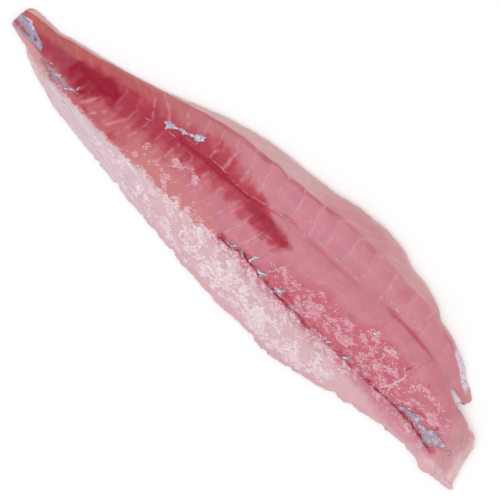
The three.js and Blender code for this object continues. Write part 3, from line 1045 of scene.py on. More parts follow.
    def head_end(self, at: Points) -> Grid:
        """The paler flesh toward the head cut."""
        return smooth(96, 115, at.x + 0.25 * (at.y + 10) + 1.5 * noise(at.x / 4, at.y / 4, 118))

    def seam_line(self, at: Points) -> Grid:
        """White connective tissue along the seams between the muscle blocks.

        Args:
            at: the points.

        Returns:
            Shares from 0 to 1.
        """
        x, y, q = at[:3]
        wide = mix(0.34, 0.62, smooth(1.9, 1.3, q) * smooth(-20, -40, x))
        thin = hill(self.detail.from_seam(at), 0, wide)
        broken = smooth(-0.3, 0.4, noise(x / 3, y / 3, 126)) + 0.3 * noise(x / 0.9, y / 0.9, 136)
        where = smooth(1.04, 1.2, q) * smooth(-100, -88, x)
        weak = mix(1.0, 0.55, smooth(2, 2.4, q)) * mix(1.0, 0.6, smooth(14, 30, x) * (q < 2))
        return np.clip(thin * broken * where * weak, 0, 1) * (1 - 0.9 * self.blood(at))

    def block_tone(self, at: Points) -> Grid:
        """How far across its own muscle block a point lies: each block darkens toward the tail."""
        number = self.detail.wavering_block(at)
        return (number - np.floor(number)) * smooth(1.04, 1.2, at.q)

    def all(self, at: Points) -> dict[str, Grid]:
        """Every zone by its name.

        Args:
            at: the points.

        Returns:
            Zone name to its value at each point.
        """
        own = (self.blood, self.clot, self.stain, self.channel, self.crease_red, self.crease_dark,
               self.flap, self.flap_wet_and_glint, self.fold, self.tail_low, self.low_red, self.head_rim,
               self.rim, self.border, self.border_line, self.tab_skin, self.tail_tan, self.salmon,
               self.lower_belly, self.ahead_pink, self.behind_grey, self.head_end,
               self.seam_line, self.block_tone, self.veil, self.belly_wet_and_glint, self.sparkle,
               self.tail_dull)
        shared = {"tatter": self.detail.tatter_share(at), "web": self.form.web_share(at.x, at.y),
                  "across": at.q}
        return {zone.__name__: zone(at) for zone in own} | shared


# ---- meshes ----
def put_in_scene(name: str, data: ID) -> Object:
    """Link a new object that holds this mesh, lamp or camera.

    Args:
        name: its name.
        data: the mesh, lamp or camera.

    Returns:
        The object.
    """
    made = bpy.data.objects.new(name, data)
    bpy.context.scene.collection.objects.link(made)
    return made


def mesh_from(name: str, points: Grid, faces: Sequence[Sequence[int]]) -> Mesh:
    """A smooth-shaded mesh from points in millimetres.

    Args:
        name: the mesh's name.
        points: one row of x, y, z each.
        faces: corner numbers, counter-clockwise seen from outside.

    Returns:
        The mesh, in metres.
    """
    mesh = bpy.data.meshes.new(name)
    mesh.from_pydata((np.asarray(points) * MM).tolist(), [], [list(f) for f in faces])
    mesh.update()
    mesh.polygons.foreach_set("use_smooth", np.ones(len(mesh.polygons), bool))
    return mesh


def attach(mesh: Mesh, name: str, values: Grid) -> None:
    """Store one number per point on the mesh, for its material to read."""
    layer = mesh.attributes.new(name, "FLOAT", "POINT")
    layer.data.foreach_set("value", np.asarray(values, np.float32))


def grid_faces(numbers: Grid) -> Grid:
    """The quads of a grid of point numbers, facing up."""
    a, b, c, d = numbers[:-1, :-1], numbers[1:, :-1], numbers[1:, 1:], numbers[:-1, 1:]
    return np.stack([a, b, c, d], -1).reshape(-1, 4)


def spread(low: float, high: float, count: int, ease: float = 0.0) -> Grid:
    """Evenly spaced values, drawn toward both ends by ease from 0 to 1; the last is left out.

    Args:
        low: the first value.
        high: the end, which is left out.
        count: how many values.
        ease: 0 for even steps, 1 for a full draw.

    Returns:
        The values.
    """
    t = np.arange(count) / count
    eased = (1 - np.cos(np.pi * t)) / 2
    return low + (high - low) * mix(t, eased, ease)


@dataclass
class MeshDraft:
    """A mesh under construction: its points, what is known of each, and its faces."""

    points: list[Grid] = field(default_factory=list)
    known: list[Points] = field(default_factory=list)
    faces: list[Grid] = field(default_factory=list)
    count: int = 0

    def store(self, at: Points, z: Grid) -> Grid:
        """Add points.

        Args:
            at: the points.
            z: their heights, in millimetres.

        Returns:
            Their numbers, in the same layout.
        """
        self.points.append(np.stack([at.x.ravel(), at.y.ravel(), z.ravel()], 1))
        self.known.append(at)
        self.count += at.x.size
        return np.arange(self.count - at.x.size, self.count).reshape(at.x.shape)

    def cells(self, grid: Grid, up: bool) -> None:
        """Add the quads of a grid of point numbers, facing up or down."""
        quads = grid_faces(grid)
        self.faces.append(quads if up else quads[:, ::-1])


@dataclass
class FilletBody:
    """The whole fillet as one closed skin: a fine flesh side over a coarser underside."""

    form: FilletForm
    detail: SurfaceDetail
    zones: FleshZones
    coarse: int = 4
    shared_stations: int = 504
    head_stations: int = 48
    tab_stations: int = 12
    end_inset: float = 1.6
    belly_inset: float = 1.9
    back_inset: float = 4.2
    tab_inset: float = 0.9
    lip_inset: float = 1.4
    curl_share: float = 0.35
    curl_height: float = 0.24
    curl_silver: float = 0.6
    surface: BVHTree | None = field(default=None, init=False)
    sheets: dict[Lobe, tuple[Points, Grid]] = field(default_factory=dict, init=False)

    def stations(self, lobe: Lobe) -> Grid:
        """Stations of one lobe, finer toward its ends.

        Args:
            lobe: which lobe.

        Returns:
            The stations.
        """
        f = self.form
        near = spread(f.tail_x, f.tail_x + 3, 12)
        main = spread(f.tail_x + 3, f.notch_x, self.shared_stations - 12)
        if lobe is Lobe.BELLY:
            t = np.arange(self.head_stations + 1) / self.head_stations
            ahead = f.notch_x + (f.head_x - f.notch_x) * (1 - (1 - t) ** 1.25)
        else:
            ahead = np.linspace(f.notch_x, f.tab_x, self.tab_stations + 1)
        return np.concatenate([near, main, ahead])

    def columns(self, lobe: Lobe) -> Grid:
        """Across values of one lobe, finer at edges, seam and groove.

        Args:
            lobe: which lobe.

        Returns:
            The across values.
        """
        if lobe is Lobe.BELLY:
            return np.concatenate([spread(0, 1, 44, 0.3), spread(1, 2, 64, 0.2), [2.0]])
        return np.concatenate([spread(2, 3, 28, 0.2), spread(3, 4, 20, 0.4), [4.0]])

    def outline(self, flat: dict[Lobe, tuple[Grid, Grid]]) -> Grid:
        """The closed outline as x, y rows, a third as fine as the grid.

        Args:
            flat: x and y of each lobe's grid.

        Returns:
            The rows.
        """
        bx, by = flat[Lobe.BELLY]
        kx, ky = flat[Lobe.BACK]
        n = self.shared_stations
        parts = [(bx[:, 0], by[:, 0]), (bx[-1], by[-1]), (bx[:n - 1:-1, -1], by[:n - 1:-1, -1]),
                 (kx[n:, 0], ky[n:, 0]), (kx[-1], ky[-1]), (kx[::-1, -1], ky[::-1, -1]),
                 (kx[0, ::-1], ky[0, ::-1]), (bx[0, ::-1], by[0, ::-1])]
        rows = np.concatenate([np.stack([px, py], 1)[::2] for px, py in parts])
        keep = np.hypot(*(rows - np.roll(rows, 1, axis=0)).T) > 1e-6
        return rows[keep]

    def away_from(self, loop: Grid, x: Grid, y: Grid) -> Grid:
        """Distance of each point to the outline, in millimetres.

        Args:
            loop: the outline, as x, y rows.
            x: positions along the fillet, in millimetres.
            y: positions across it.

        Returns:
            The distances.
        """
        a, b = loop, np.roll(loop, -1, axis=0)
        d = b - a
        long = (d**2).sum(1)
        px, py = x.ravel(), y.ravel()
        out = np.empty(len(px))
        for s in range(0, len(px), 4000):
            ux, uy = px[s:s + 4000, None] - a[:, 0], py[s:s + 4000, None] - a[:, 1]
            t = np.clip((ux * d[:, 0] + uy * d[:, 1]) / long, 0, 1)
            out[s:s + 4000] = np.hypot(ux - t * d[:, 0], uy - t * d[:, 1]).min(1)
        return out.reshape(x.shape)

    def top_z(self, at: Points, loop: Grid, lobe: Lobe) -> Grid:
        """Height of the flesh side.

        Args:
            at: the points.
            loop: the outline, as x, y rows.
            lobe: which lobe.

        Returns:
            Heights, in millimetres.
        """
        x, y, q = at[:3]
        f = self.form
        inward = np.clip(self.away_from(loop, x, y) / f.round_reach(x, q), 0, 1)
        body = f.muscle(x, q, lobe) + self.detail.total(at)
        full = mix(body, f.web_z + 0.15 * noise(x, y, 7), f.web_share(x, y))
        return mix(f.edge_height(x, q), full, np.sqrt(1 - (1 - inward) ** 2))

    def in_from(self, g: Grid, edge: float, toward: int, distance: Grid, lobe: Lobe) -> Grid:
        """The across value a distance in from an edge, measured along the cross line.

        Args:
            g: stations.
            edge: the across value to start from.
            toward: 1 to go up from it, -1 to go down.
            distance: how far to go at each station, in millimetres.
            lobe: which lobe.

        Returns:
            The across value at each station.
        """
        steps = np.linspace(0, 1.8, 300)
        q = edge + toward * steps[None, :]
        x, y = self.form.place(g[:, None] + 0 * q, q + 0 * g[:, None], lobe)
        gone = np.hypot(x - x[:, :1], y - y[:, :1])
        index = np.argmax(gone >= np.asarray(distance).reshape(-1, 1), axis=1)
        return edge + toward * steps[np.where(index == 0, len(steps) - 1, index)]

    def inset(self, lobe: Lobe, share: float, ends: Grid, cols: Grid) -> tuple[Grid, Grid]:
        """The grid drawn in from the outline, for the underside.

        Args:
            lobe: which lobe.
            share: how much of the full inset to take.
            ends: stations to place.
            cols: across values to place.

        Returns:
            x and y of each drawn-in grid point, in millimetres.
        """
        f = self.form
        last = f.head_x if lobe is Lobe.BELLY else f.tab_x
        end_inset = share * (self.end_inset if lobe is Lobe.BELLY else self.tab_inset)
        along = (ends - f.tail_x) / (last - f.tail_x)
        g = mix(f.tail_x + share * self.end_inset, last - end_inset, along)
        narrow = smooth(80, 96, g) + smooth(-80, -108, g)
        past = ends > f.notch_x + 1e-6
        if lobe is Lobe.BELLY:
            low = self.in_from(g, 0, 1, np.full(len(g), share * self.belly_inset), lobe)
            lip = self.in_from(g, 2, -1, np.full(len(g), share * self.lip_inset), lobe)
            high, q0 = np.where(past, lip, 2.0), cols / 2
        else:
            lip = self.in_from(g, 2, 1, np.full(len(g), share * self.tab_inset), lobe)
            low = np.where(past, lip, 2.0)
            wide = share * mix(self.back_inset, self.tab_inset, narrow)
            high, q0 = self.in_from(g, 4, -1, wide, lobe), (cols - 2) / 2
        q = low[:, None] + (high - low)[:, None] * q0[None, :]
        return f.place(np.repeat(g[:, None], len(cols), 1), q, lobe)

    def walk(self, step: int) -> list[tuple[Lobe, int, int]]:
        """The outline as grid points, counter-clockwise from the tail's belly corner.

        Args:
            step: how many grid cells to go at a time.

        Returns:
            Lobe, station number and column number of each point.
        """
        n, c = self.shared_stations, self.columns(Lobe.BELLY).size - 1
        m, k = n + self.head_stations, self.columns(Lobe.BACK).size - 1
        t = n + self.tab_stations
        path = [(Lobe.BELLY, i, 0) for i in range(0, m, step)]
        path += [(Lobe.BELLY, m, j) for j in range(0, c, step)]
        path += [(Lobe.BELLY, i, c) for i in range(m, n, -step)]
        path += [(Lobe.BACK, i, 0) for i in range(n, t, step)]
        path += [(Lobe.BACK, t, j) for j in range(0, k, step)]
        path += [(Lobe.BACK, i, k) for i in range(t, 0, -step)]
        path += [(Lobe.BACK, 0, j) for j in range(k, 0, -step)]
        return path + [(Lobe.BELLY, 0, j) for j in range(c, 0, -step)]

    def lay_top(self, draft: MeshDraft) -> dict[Lobe, Grid]:
        """Add the flesh side of both lobes, joined along the groove.

        Args:
            draft: the mesh to add it to.

        Returns:
            The point numbers of each lobe's grid.
        """
        grids = {lobe: np.meshgrid(self.stations(lobe), self.columns(lobe), indexing="ij")
                 for lobe in Lobe}
        flat = {}
        for lobe, (g, q) in grids.items():
            x, y = self.form.place(g, q, lobe)
            flat[lobe] = self.detail.fray(x, y, g, q, lobe)
        loop = self.outline(flat)
        rows = {}
        for lobe, (g, q) in grids.items():
            at = Points(*flat[lobe], q, g)
            z = self.top_z(at, loop, lobe)
            rows[lobe] = draft.store(at, z)
            self.sheets[lobe] = (at, z)
        joined = self.shared_stations + 1
        rows[Lobe.BACK][:joined, 0] = rows[Lobe.BELLY][:joined, -1]
        for lobe in Lobe:
            draft.cells(rows[lobe], True)
        return rows

    def lay_under(self, draft: MeshDraft) -> dict[Lobe, Grid]:
        """Add the flat underside, coarser and drawn in from the outline.

        Args:
            draft: the mesh to add it to.

        Returns:
            The point numbers of each lobe's grid.
        """
        under = {}
        for lobe in Lobe:
            g, q = self.stations(lobe)[::self.coarse], self.columns(lobe)[::self.coarse]
            x, y = self.inset(lobe, 1.0, g, q)
            stations, across = np.meshgrid(g, q, indexing="ij")
            under[lobe] = draft.store(Points(x, y, across, stations), np.zeros_like(x))
        joined = self.shared_stations // self.coarse + 1
        under[Lobe.BACK][:joined, 0] = under[Lobe.BELLY][:joined, -1]
        for lobe in Lobe:
            draft.cells(under[lobe], False)
        return under

    def lay_curl(self, draft: MeshDraft, rows: dict[Lobe, Grid],
                 under: dict[Lobe, Grid]) -> list[tuple[int, ...]]:
        """Add the rounded edge: a ring under the outline, as fine as the flesh side.

        Args:
            draft: the mesh to add it to.
            rows: the flesh side's point numbers.
            under: the underside's point numbers.

        Returns:
            The triangles that join the ring to the underside.
        """
        walk = self.walk(1)
        rim = np.array([rows[lobe][i, j] for lobe, i, j in walk])
        curl = {lobe: self.inset(lobe, self.curl_share, self.stations(lobe), self.columns(lobe))
                for lobe in Lobe}
        x, y = (np.array([curl[lobe][k][i, j] for lobe, i, j in walk]) for k in range(2))
        g = np.array([self.stations(lobe)[i] for lobe, i, _ in walk])
        q = np.array([self.columns(lobe)[j] for lobe, _, j in walk])
        z = np.concatenate(draft.points)[rim, 2] * self.curl_height
        ring = draft.store(Points(x, y, q, g), z)
        ahead = np.roll(np.arange(len(walk)), -1)
        draft.faces.append(np.stack([rim, ring, ring[ahead], rim[ahead]], 1))

        s, half = self.coarse, self.coarse // 2
        foot = np.array([under[lobe][i // s, j // s] for lobe, i, j in self.walk(s)])
        fans: list[tuple[int, ...]] = []
        for i, (here, there) in enumerate(zip(foot, np.roll(foot, -1))):
            r = [ring[(i * s + k) % len(ring)] for k in range(s + 1)]
            fans += [(r[k], here, r[k + 1]) for k in range(half)]
            fans += [(r[half], here, there)]
            fans += [(r[k], there, r[k + 1]) for k in range(half, s)]
        return fans

    def build(self) -> Object:
        """Make the closed mesh, with its zones stored for the material.

        Returns:
            The fillet's object.
        """
        draft = MeshDraft()
        rows = self.lay_top(draft)
        top_points, top_faces = draft.count, sum(len(block) for block in draft.faces)
        fans = self.lay_curl(draft, rows, self.lay_under(draft))
        side = np.ones(draft.count)
        side[:top_points] = 0
        side[-draft.known[-1].x.size:] = self.curl_silver
        points = np.concatenate(draft.points)
        corners = [f for block in draft.faces for f in block.tolist()] + fans
        mesh = mesh_from("fillet_flesh", points, corners)
        at = Points(*(np.concatenate([part.ravel() for part in parts])
                      for parts in zip(*draft.known)))
        self.paint(mesh, at, side)
        body = put_in_scene("fillet_flesh", self.without_strays(mesh))
        self.surface = BVHTree.FromPolygons([tuple(p) for p in points], corners[:top_faces])
        return body

    def without_strays(self, mesh: Mesh) -> Mesh:
        """Remove the points of the back lobe that the belly lobe's groove points stand for.

        Args:
            mesh: the mesh, which is changed.

        Returns:
            The same mesh.
        """
        work = bmesh.new()
        work.from_mesh(mesh)
        bmesh.ops.delete(work, geom=[v for v in work.verts if not v.link_faces], context="VERTS")
        work.to_mesh(mesh)
        work.free()
        return mesh

    def paint(self, mesh: Mesh, at: Points, side: Grid) -> None:
        """Store the colour zones on the mesh, and which side each point is on."""
        for name, values in {**self.zones.all(at), "skin_side": side}.items():
            attach(mesh, name, values)

    def height_at(self, x: float, y: float) -> float | None:
        """Height of the flesh side at a point in millimetres, or None off the fillet.

        Args:
            x: position along the fillet, in millimetres.
            y: position across it.

        Returns:
            The height in millimetres, or None.
        """
        assert self.surface is not None
        hit = self.surface.ray_cast(Vector((x, y, 60.0)), Vector((0, 0, -1)))
        return None if hit[0] is None else hit[0].z


# ---- finishes ----
def linear(colour: str, alpha: float = 1.0) -> tuple[float, float, float, float]:
    """An sRGB hex colour as linear RGBA.

    Args:
        colour: the colour, as #RRGGBB.
        alpha: its opacity.

    Returns:
        Red, green, blue and alpha.
    """
    parts = [int(colour[i:i + 2], 16) / 255 for i in (1, 3, 5)]
    light = [c / 12.92 if c <= 0.04045 else ((c + 0.055) / 1.055) ** 2.4 for c in parts]
    return light[0], light[1], light[2], alpha


def feed(tree: NodeTree, node: Node, inputs: dict) -> None:
    """Set or link a node's inputs.

    Args:
        tree: the node tree.
        node: the node in it.
        inputs: socket name or number to a value, or to an output socket to link.
    """
    for key, value in inputs.items():
        if isinstance(value, NodeSocket):
            tree.links.new(value, node.inputs[key])
        else:
            node.inputs[key].default_value = value


def add(tree: NodeTree, kind: str, inputs: dict | None = None,
        **settings: object) -> Node:
    """Add a node with its settings and links.

    Args:
        tree: the node tree.
        kind: the node's type name.
        inputs: socket name or number to a value, or to an output socket to link.
        settings: the node's own properties.

    Returns:
        The node.
    """
    node = tree.nodes.new(kind)
    for name, value in settings.items():
        setattr(node, name, value)
    feed(tree, node, inputs or {})
    return node


@dataclass(frozen=True)
class Shader:
    """A material under construction, with short ways to the nodes that all finishes use."""

    tree: NodeTree

    def zone(self, name: str) -> NodeSocket:
        """The number stored on the mesh under this name."""
        return add(self.tree, "ShaderNodeAttribute", attribute_name=name).outputs["Fac"]

    def maths(self, how: str, *values: object) -> NodeSocket:
        """The result of one maths node."""
        return add(self.tree, "ShaderNodeMath", dict(enumerate(values)), operation=how).outputs[0]

    def times(self, a: object, b: object) -> NodeSocket:
        """The product of two values."""
        return self.maths("MULTIPLY", a, b)

    def plus(self, a: object, b: object) -> NodeSocket:
        """The sum of two values."""
        return self.maths("ADD", a, b)

    def minus(self, a: object, b: object) -> NodeSocket:
        """The first value less the second."""
        return self.maths("SUBTRACT", a, b)

    def larger(self, a: object, b: object) -> NodeSocket:
        """The larger of two values."""
        return self.maths("MAXIMUM", a, b)

    def blend(self, factor: object, under: object, over: object) -> NodeSocket:
        """One colour laid on another.

        Args:
            factor: how much of the upper colour shows, from 0 to 1.
            under: the lower colour, as a socket or an sRGB hex code.
            over: the upper colour, as a socket or an sRGB hex code.

        Returns:
            The blended colour.
        """
        under, over = (linear(c) if isinstance(c, str) else c for c in (under, over))
        inputs = {0: factor, 6: under, 7: over}
        return add(self.tree, "ShaderNodeMix", inputs, data_type="RGBA").outputs[2]

    def ramp(self, value: object, low: float, high: float) -> NodeSocket:
        """A soft step.

        Args:
            value: the number to test.
            low: where the step starts.
            high: where it is complete.

        Returns:
            0 at low, 1 at high.
        """
        inputs = {0: value, 1: low, 2: high}
        node = add(self.tree, "ShaderNodeMapRange", inputs, interpolation_type="SMOOTHSTEP")
        return node.outputs[0]

    def grain(self, size_mm: tuple[float, float, float], detail: float = 2.0,
              twist: float = 0.0, turn: float = 0.0) -> NodeSocket:
        """Noise in patches, which may be drawn out into swirls.

        Args:
            size_mm: the size of a patch along, across and up.
            detail: how many finer layers it has.
            twist: how far the patches are drawn out.
            turn: degrees by which the patches lie turned.

        Returns:
            The noise, from 0 to 1 with its middle at one half.
        """
        place = add(self.tree, "ShaderNodeTexCoord").outputs["Object"]
        spin = {"Vector": place, "Angle": math.radians(-turn)}
        turned = add(self.tree, "ShaderNodeVectorRotate", spin, rotation_type="Z_AXIS").outputs[0]
        scaled = add(self.tree, "ShaderNodeMapping",
                     {0: turned, 3: tuple(1 / (s * MM) for s in size_mm)}).outputs[0]
        return add(self.tree, "ShaderNodeTexNoise", {
            "Vector": scaled, "Scale": 1.0, "Detail": detail, "Distortion": twist}).outputs[0]

    def patches(self, noise_value: object, share: object, start: float, reach: float,
                soft: float = 0.05) -> NodeSocket:
        """Patches where a noise is above start, which get rarer as share falls from 1 to 0."""
        lifted = self.plus(noise_value, self.times(self.minus(share, 1.0), reach))
        return self.times(self.ramp(lifted, start, start + soft), self.ramp(share, 0.0, 0.2))

    def off_lines(self, noise_value: object, wide: float) -> NodeSocket:
        """One away from the thin winding lines where a noise crosses one half."""
        away = self.maths("ABSOLUTE", self.minus(noise_value, 0.5))
        return self.ramp(away, 0.4 * wide, wide)


def new_material(name: str) -> tuple[Material, Shader, Node]:
    """An empty node material.

    Args:
        name: the material's name.

    Returns:
        The material, its Shader, and its Principled node.
    """
    material = bpy.data.materials.new(name)
    material.use_nodes = True
    tree = material.node_tree
    return material, Shader(tree), tree.nodes["Principled BSDF"]


@dataclass(frozen=True)
class RawFlesh:
    """Raw fish muscle, cut with a knife and moist: light sinks a millimetre into it, so edges
    look soft and pink. Its wet glints are painted highlights, laid into its colour in crisp patches
    of lilac white over a thin wet coat."""

    back_pink: str = "#C7838F"
    belly_pink: str = "#C67D8A"
    lower_belly_red: str = "#C36777"
    tan: str = "#B75F60"
    salmon: str = "#C57C7C"
    low_red: str = "#BC6068"
    blood_edge: str = "#B9565F"
    blood_red: str = "#A83145"
    clot_red: str = "#96092B"
    stain_red: str = "#B03244"
    dull_red: str = "#8E4A5C"
    flap_pale: str = "#CFABB1"
    flap_ahead: str = "#D0A3AA"
    flap_behind: str = "#D0B4BB"
    tail_tan: str = "#CB9C9C"
    rim_pink: str = "#CFA4AA"
    fold_pink: str = "#C47F8D"
    border_pale: str = "#CFA7AB"
    border_brown: str = "#B45A58"
    head_pale: str = "#C49498"
    head_rim: str = "#D9BCBE"
    crease_red: str = "#B83A4F"
    crease_dark: str = "#6A2636"
    seam_white: str = "#DCA8B4"
    skin_white: str = "#DCCCD8"
    skin_purple: str = "#A98CBB"
    # The pale web, made lighter still as painted light against the shade in its pit.
    web_white: str = "#EAD9DF"
    # The silvery skin side, lighter than the skin alone: painted light that lifts the shade on the
    # steep edge walls.
    silver_side: str = "#DDC0C7"
    flank_line: str = "#DDD2DC"
    # Painted highlights: the glint colours laid into the wet flap, belly lobe and fold strip.
    flap_glint: str = "#EBDBE3"
    belly_glint: str = "#E2B4C2"
    fold_glint: str = "#E2BFCB"
    roughness: float = 0.5
    wet_roughness: float = 0.14
    refraction: float = 1.36
    sink_mm: float = 0.7
    sink_share: float = 0.35
    sink_by_colour: tuple[float, float, float] = (1.0, 0.35, 0.25)

    def flesh_colour(self, s: Shader) -> NodeSocket:
        """The colour of the muscle, zone upon zone.

        Args:
            s: the material's shader.

        Returns:
            The colour.
        """
        z = s.zone
        base = s.blend(s.ramp(z("across"), 2.02, 1.9), self.back_pink, self.belly_pink)
        flap = s.blend(z("ahead_pink"), self.flap_pale, self.flap_ahead)
        flap = s.blend(z("behind_grey"), flap, self.flap_behind)
        layers: list[tuple[str, float, object]] = [
            ("lower_belly", 0.95, self.lower_belly_red), ("tail_tan", 1, self.tan),
            ("low_red", 0.8, self.low_red), ("salmon", 0.9, self.salmon),
            ("head_end", 1, self.head_pale), ("head_rim", 0.9, self.head_rim),
            ("fold", 0.9, self.fold_pink), ("flap", 1, flap),
            ("tail_low", 0.8, self.tail_tan), ("rim", 0.8, self.rim_pink),
            ("border", 1, self.border_pale), ("border_line", 0.75, self.border_brown),
        ]
        for name, most, colour in layers:
            base = s.blend(s.times(z(name), most), base, colour)
        base = s.blend(s.ramp(z("blood"), 0, 0.65), base, self.blood_edge)
        base = s.blend(s.ramp(z("blood"), 0.35, 1), base, self.blood_red)
        base = s.blend(s.times(z("tail_dull"), 0.45), base, self.dull_red)
        reds = {"channel": self.stain_red, "stain": self.stain_red, "clot": self.clot_red,
                "crease_red": self.crease_red, "crease_dark": self.crease_dark}
        for name, colour in reds.items():
            base = s.blend(z(name), base, colour)
        pale = s.larger(s.times(z("seam_line"), 0.25), s.times(z("veil"), 0.38))
        return s.blend(pale, base, self.seam_white)

    def wet_and_painted_glints(self, s: Shader) -> dict[str, tuple[NodeSocket, str, float]]:
        """Painted highlights of the wet flesh, and the pale lines of the flank: name to where they
        lie, their colour and strength.

        Args:
            s: the material's shader.

        Returns:
            Name to where the patches lie, colour and strength.
        """
        z = s.zone
        swirls = s.grain((2.8, 1.3, 2), 1.2, 2.4, 14)
        cracks = s.grain((2.2, 1.1, 1.2), 1.4, 1.8, 20)
        streaks = s.grain((0.6, 1.8, 0.9), 2, 0.8, -38)

        def broken(fine: object, patch: object) -> NodeSocket:
            """Two noises together, so that patches break up into specks toward their edges."""
            return s.plus(fine, s.minus(patch, 0.5))

        # Painted highlights: glint patches on the flap, the belly lobe, the fold strip and beside
        # the groove.
        spread_out = broken(s.grain((3.0, 1.5, 2.0), 1.4, 2.0, 14), s.grain((7, 4, 4), 2, 0.8, -20))
        flap = s.times(s.patches(spread_out, z("flap_wet_and_glint"), 0.355, 0.33, 0.035),
                       s.off_lines(swirls, 0.05))
        wide, close = s.grain((6, 4, 4), 2, 1.0, 12), s.grain((2.2, 1.1, 1.4), 1.3, 1.8, 20)
        fine = s.blend(s.ramp(z("behind_grey"), 0.02, 0.3), close, streaks)
        belly = s.times(s.patches(broken(fine, wide), z("belly_wet_and_glint"), 0.325, 0.37, 0.035),
                        s.off_lines(cracks, 0.045))
        across = s.ramp(s.grain((0.9, 2.0, 1), 2.5, 1.2, 8), 0.46, 0.52)
        fold = s.times(s.patches(s.grain((4, 2.4, 3), 3, 1.0), z("fold"), 0.46, 0.2, 0.1), across)
        specks = s.patches(s.grain((1.0, 0.6, 0.8), 2, 0.6), z("sparkle"), 0.56, 0.2, 0.05)
        lines = s.ramp(s.grain((26, 0.55, 3), 2, 0.3, -8), 0.5, 0.6)
        flank = s.times(s.times(z("behind_grey"), z("flap")), lines)
        raw = s.larger(s.ramp(z("crease_dark"), 0, 0.5), s.times(z("crease_red"), 0.9))
        flap, belly, fold = (s.times(patch, s.minus(1.0, raw)) for patch in (flap, belly, fold))
        return {"flank": (flank, self.flank_line, 0.5), "flap": (flap, self.flap_glint, 0.72),
                "belly": (belly, self.belly_glint, 0.76), "fold": (fold, self.fold_glint, 0.7),
                "specks": (specks, self.fold_glint, 0.55)}

    def build(self) -> Material:
        """Make the material.

        Returns:
            The material.
        """
        material, s, skin = new_material("raw_fish_flesh")
        z = s.zone
        mottle, strands = s.grain((6, 4, 4), 3), s.grain((6, 0.5, 1.5), 3)
        flecks, ripples = s.grain((1.1, 1.1, 1.1), 3), s.grain((0.9, 0.7, 0.7), 2)
        tone = s.plus(s.times(mottle, 0.26), s.times(strands, 0.1))
        tone = s.plus(s.plus(tone, s.times(flecks, 0.12)), 0.76)
        drawn = s.minus(s.grain((4, 0.6, 2), 3, 0.5, -62), 0.5)
        tone = s.plus(tone, s.times(s.times(drawn, z("head_end")), 0.75))
        tone = s.minus(tone, s.times(s.minus(z("block_tone"), 0.5), 0.05))
        shade = add(s.tree, "ShaderNodeHueSaturation",
                    {"Color": self.flesh_colour(s), "Value": tone}).outputs[0]
        # Lay the painted highlights into the colour; the same patches make the coat wetter.
        wet: object = 0.0
        for where, colour, strength in self.wet_and_painted_glints(s).values():
            shade = s.blend(s.times(where, strength), shade, colour)
            wet = s.larger(wet, where)
        spots = s.larger(s.ramp(flecks, 0.5, 0.66), s.ramp(z("across"), 3.82, 3.95))
        skin_tone = s.blend(spots, self.skin_white, self.skin_purple)
        shade = s.blend(z("tab_skin"), shade, skin_tone)
        shade = s.blend(z("web"), shade, self.web_white)
        silver = s.blend(s.ramp(strands, 0.4, 0.65), self.silver_side, self.back_pink)
        shade = s.blend(s.times(z("skin_side"), 0.85), shade, silver)
        rough = s.minus(self.roughness, s.times(wet, 0.16))
        rippled = s.times(ripples, s.plus(0.35, s.times(z("tatter"), 1.2)))
        bumps = s.plus(s.plus(s.times(strands, 0.4), rippled), s.times(wet, 0.35))
        relief = add(s.tree, "ShaderNodeBump", {"Height": bumps, "Distance": 0.16 * MM,
                                                "Strength": 0.6}).outputs[0]
        feed(s.tree, skin, {
            "Base Color": shade, "Roughness": rough, "Normal": relief,
            "Coat Weight": s.plus(0.05, s.times(wet, 0.35)), "Coat Roughness": self.wet_roughness,
            "IOR": self.refraction, "Specular IOR Level": 0.3, "Subsurface Weight": self.sink_share,
            "Subsurface Radius": self.sink_by_colour, "Subsurface Scale": self.sink_mm * MM})
        return material


@dataclass(frozen=True)
class TornFilm:
    """Peritoneum and silverskin, torn off by the knife: a thin grey film over red flesh, shiny
    and uneven, so that it looks lilac with red where it is thinnest."""

    name: str
    film: str
    light: str
    thin: str
    thin_share: float = 0.4
    edge: str = ""
    roughness: float = 0.34
    wet: float = 0.4

    def build(self) -> Material:
        """Make the material.

        Returns:
            The material.
        """
        material, s, skin = new_material(self.name)
        patches = s.grain((1.5, 1.0, 1.0), 4)
        specks = s.grain((0.6, 0.5, 0.5), 2)
        base = s.blend(s.ramp(patches, 0.46, 0.6), self.film, self.light)
        start = 0.62 - 0.2 * self.thin_share
        thin = s.ramp(specks, start, start + 0.1)
        base = s.blend(s.times(thin, self.thin_share), base, self.thin)
        if self.edge:
            base = s.blend(s.ramp(s.zone("inner"), 0.5, 0.0), base, self.edge)
        bump = add(s.tree, "ShaderNodeBump", {"Height": s.plus(patches, specks),
                                              "Distance": 0.2 * MM, "Strength": 0.6}).outputs[0]
        feed(s.tree, skin, {"Base Color": base, "Normal": bump, "Roughness": self.roughness,
                            "Coat Weight": self.wet, "Coat Roughness": 0.2, "IOR": 1.4})
        return material


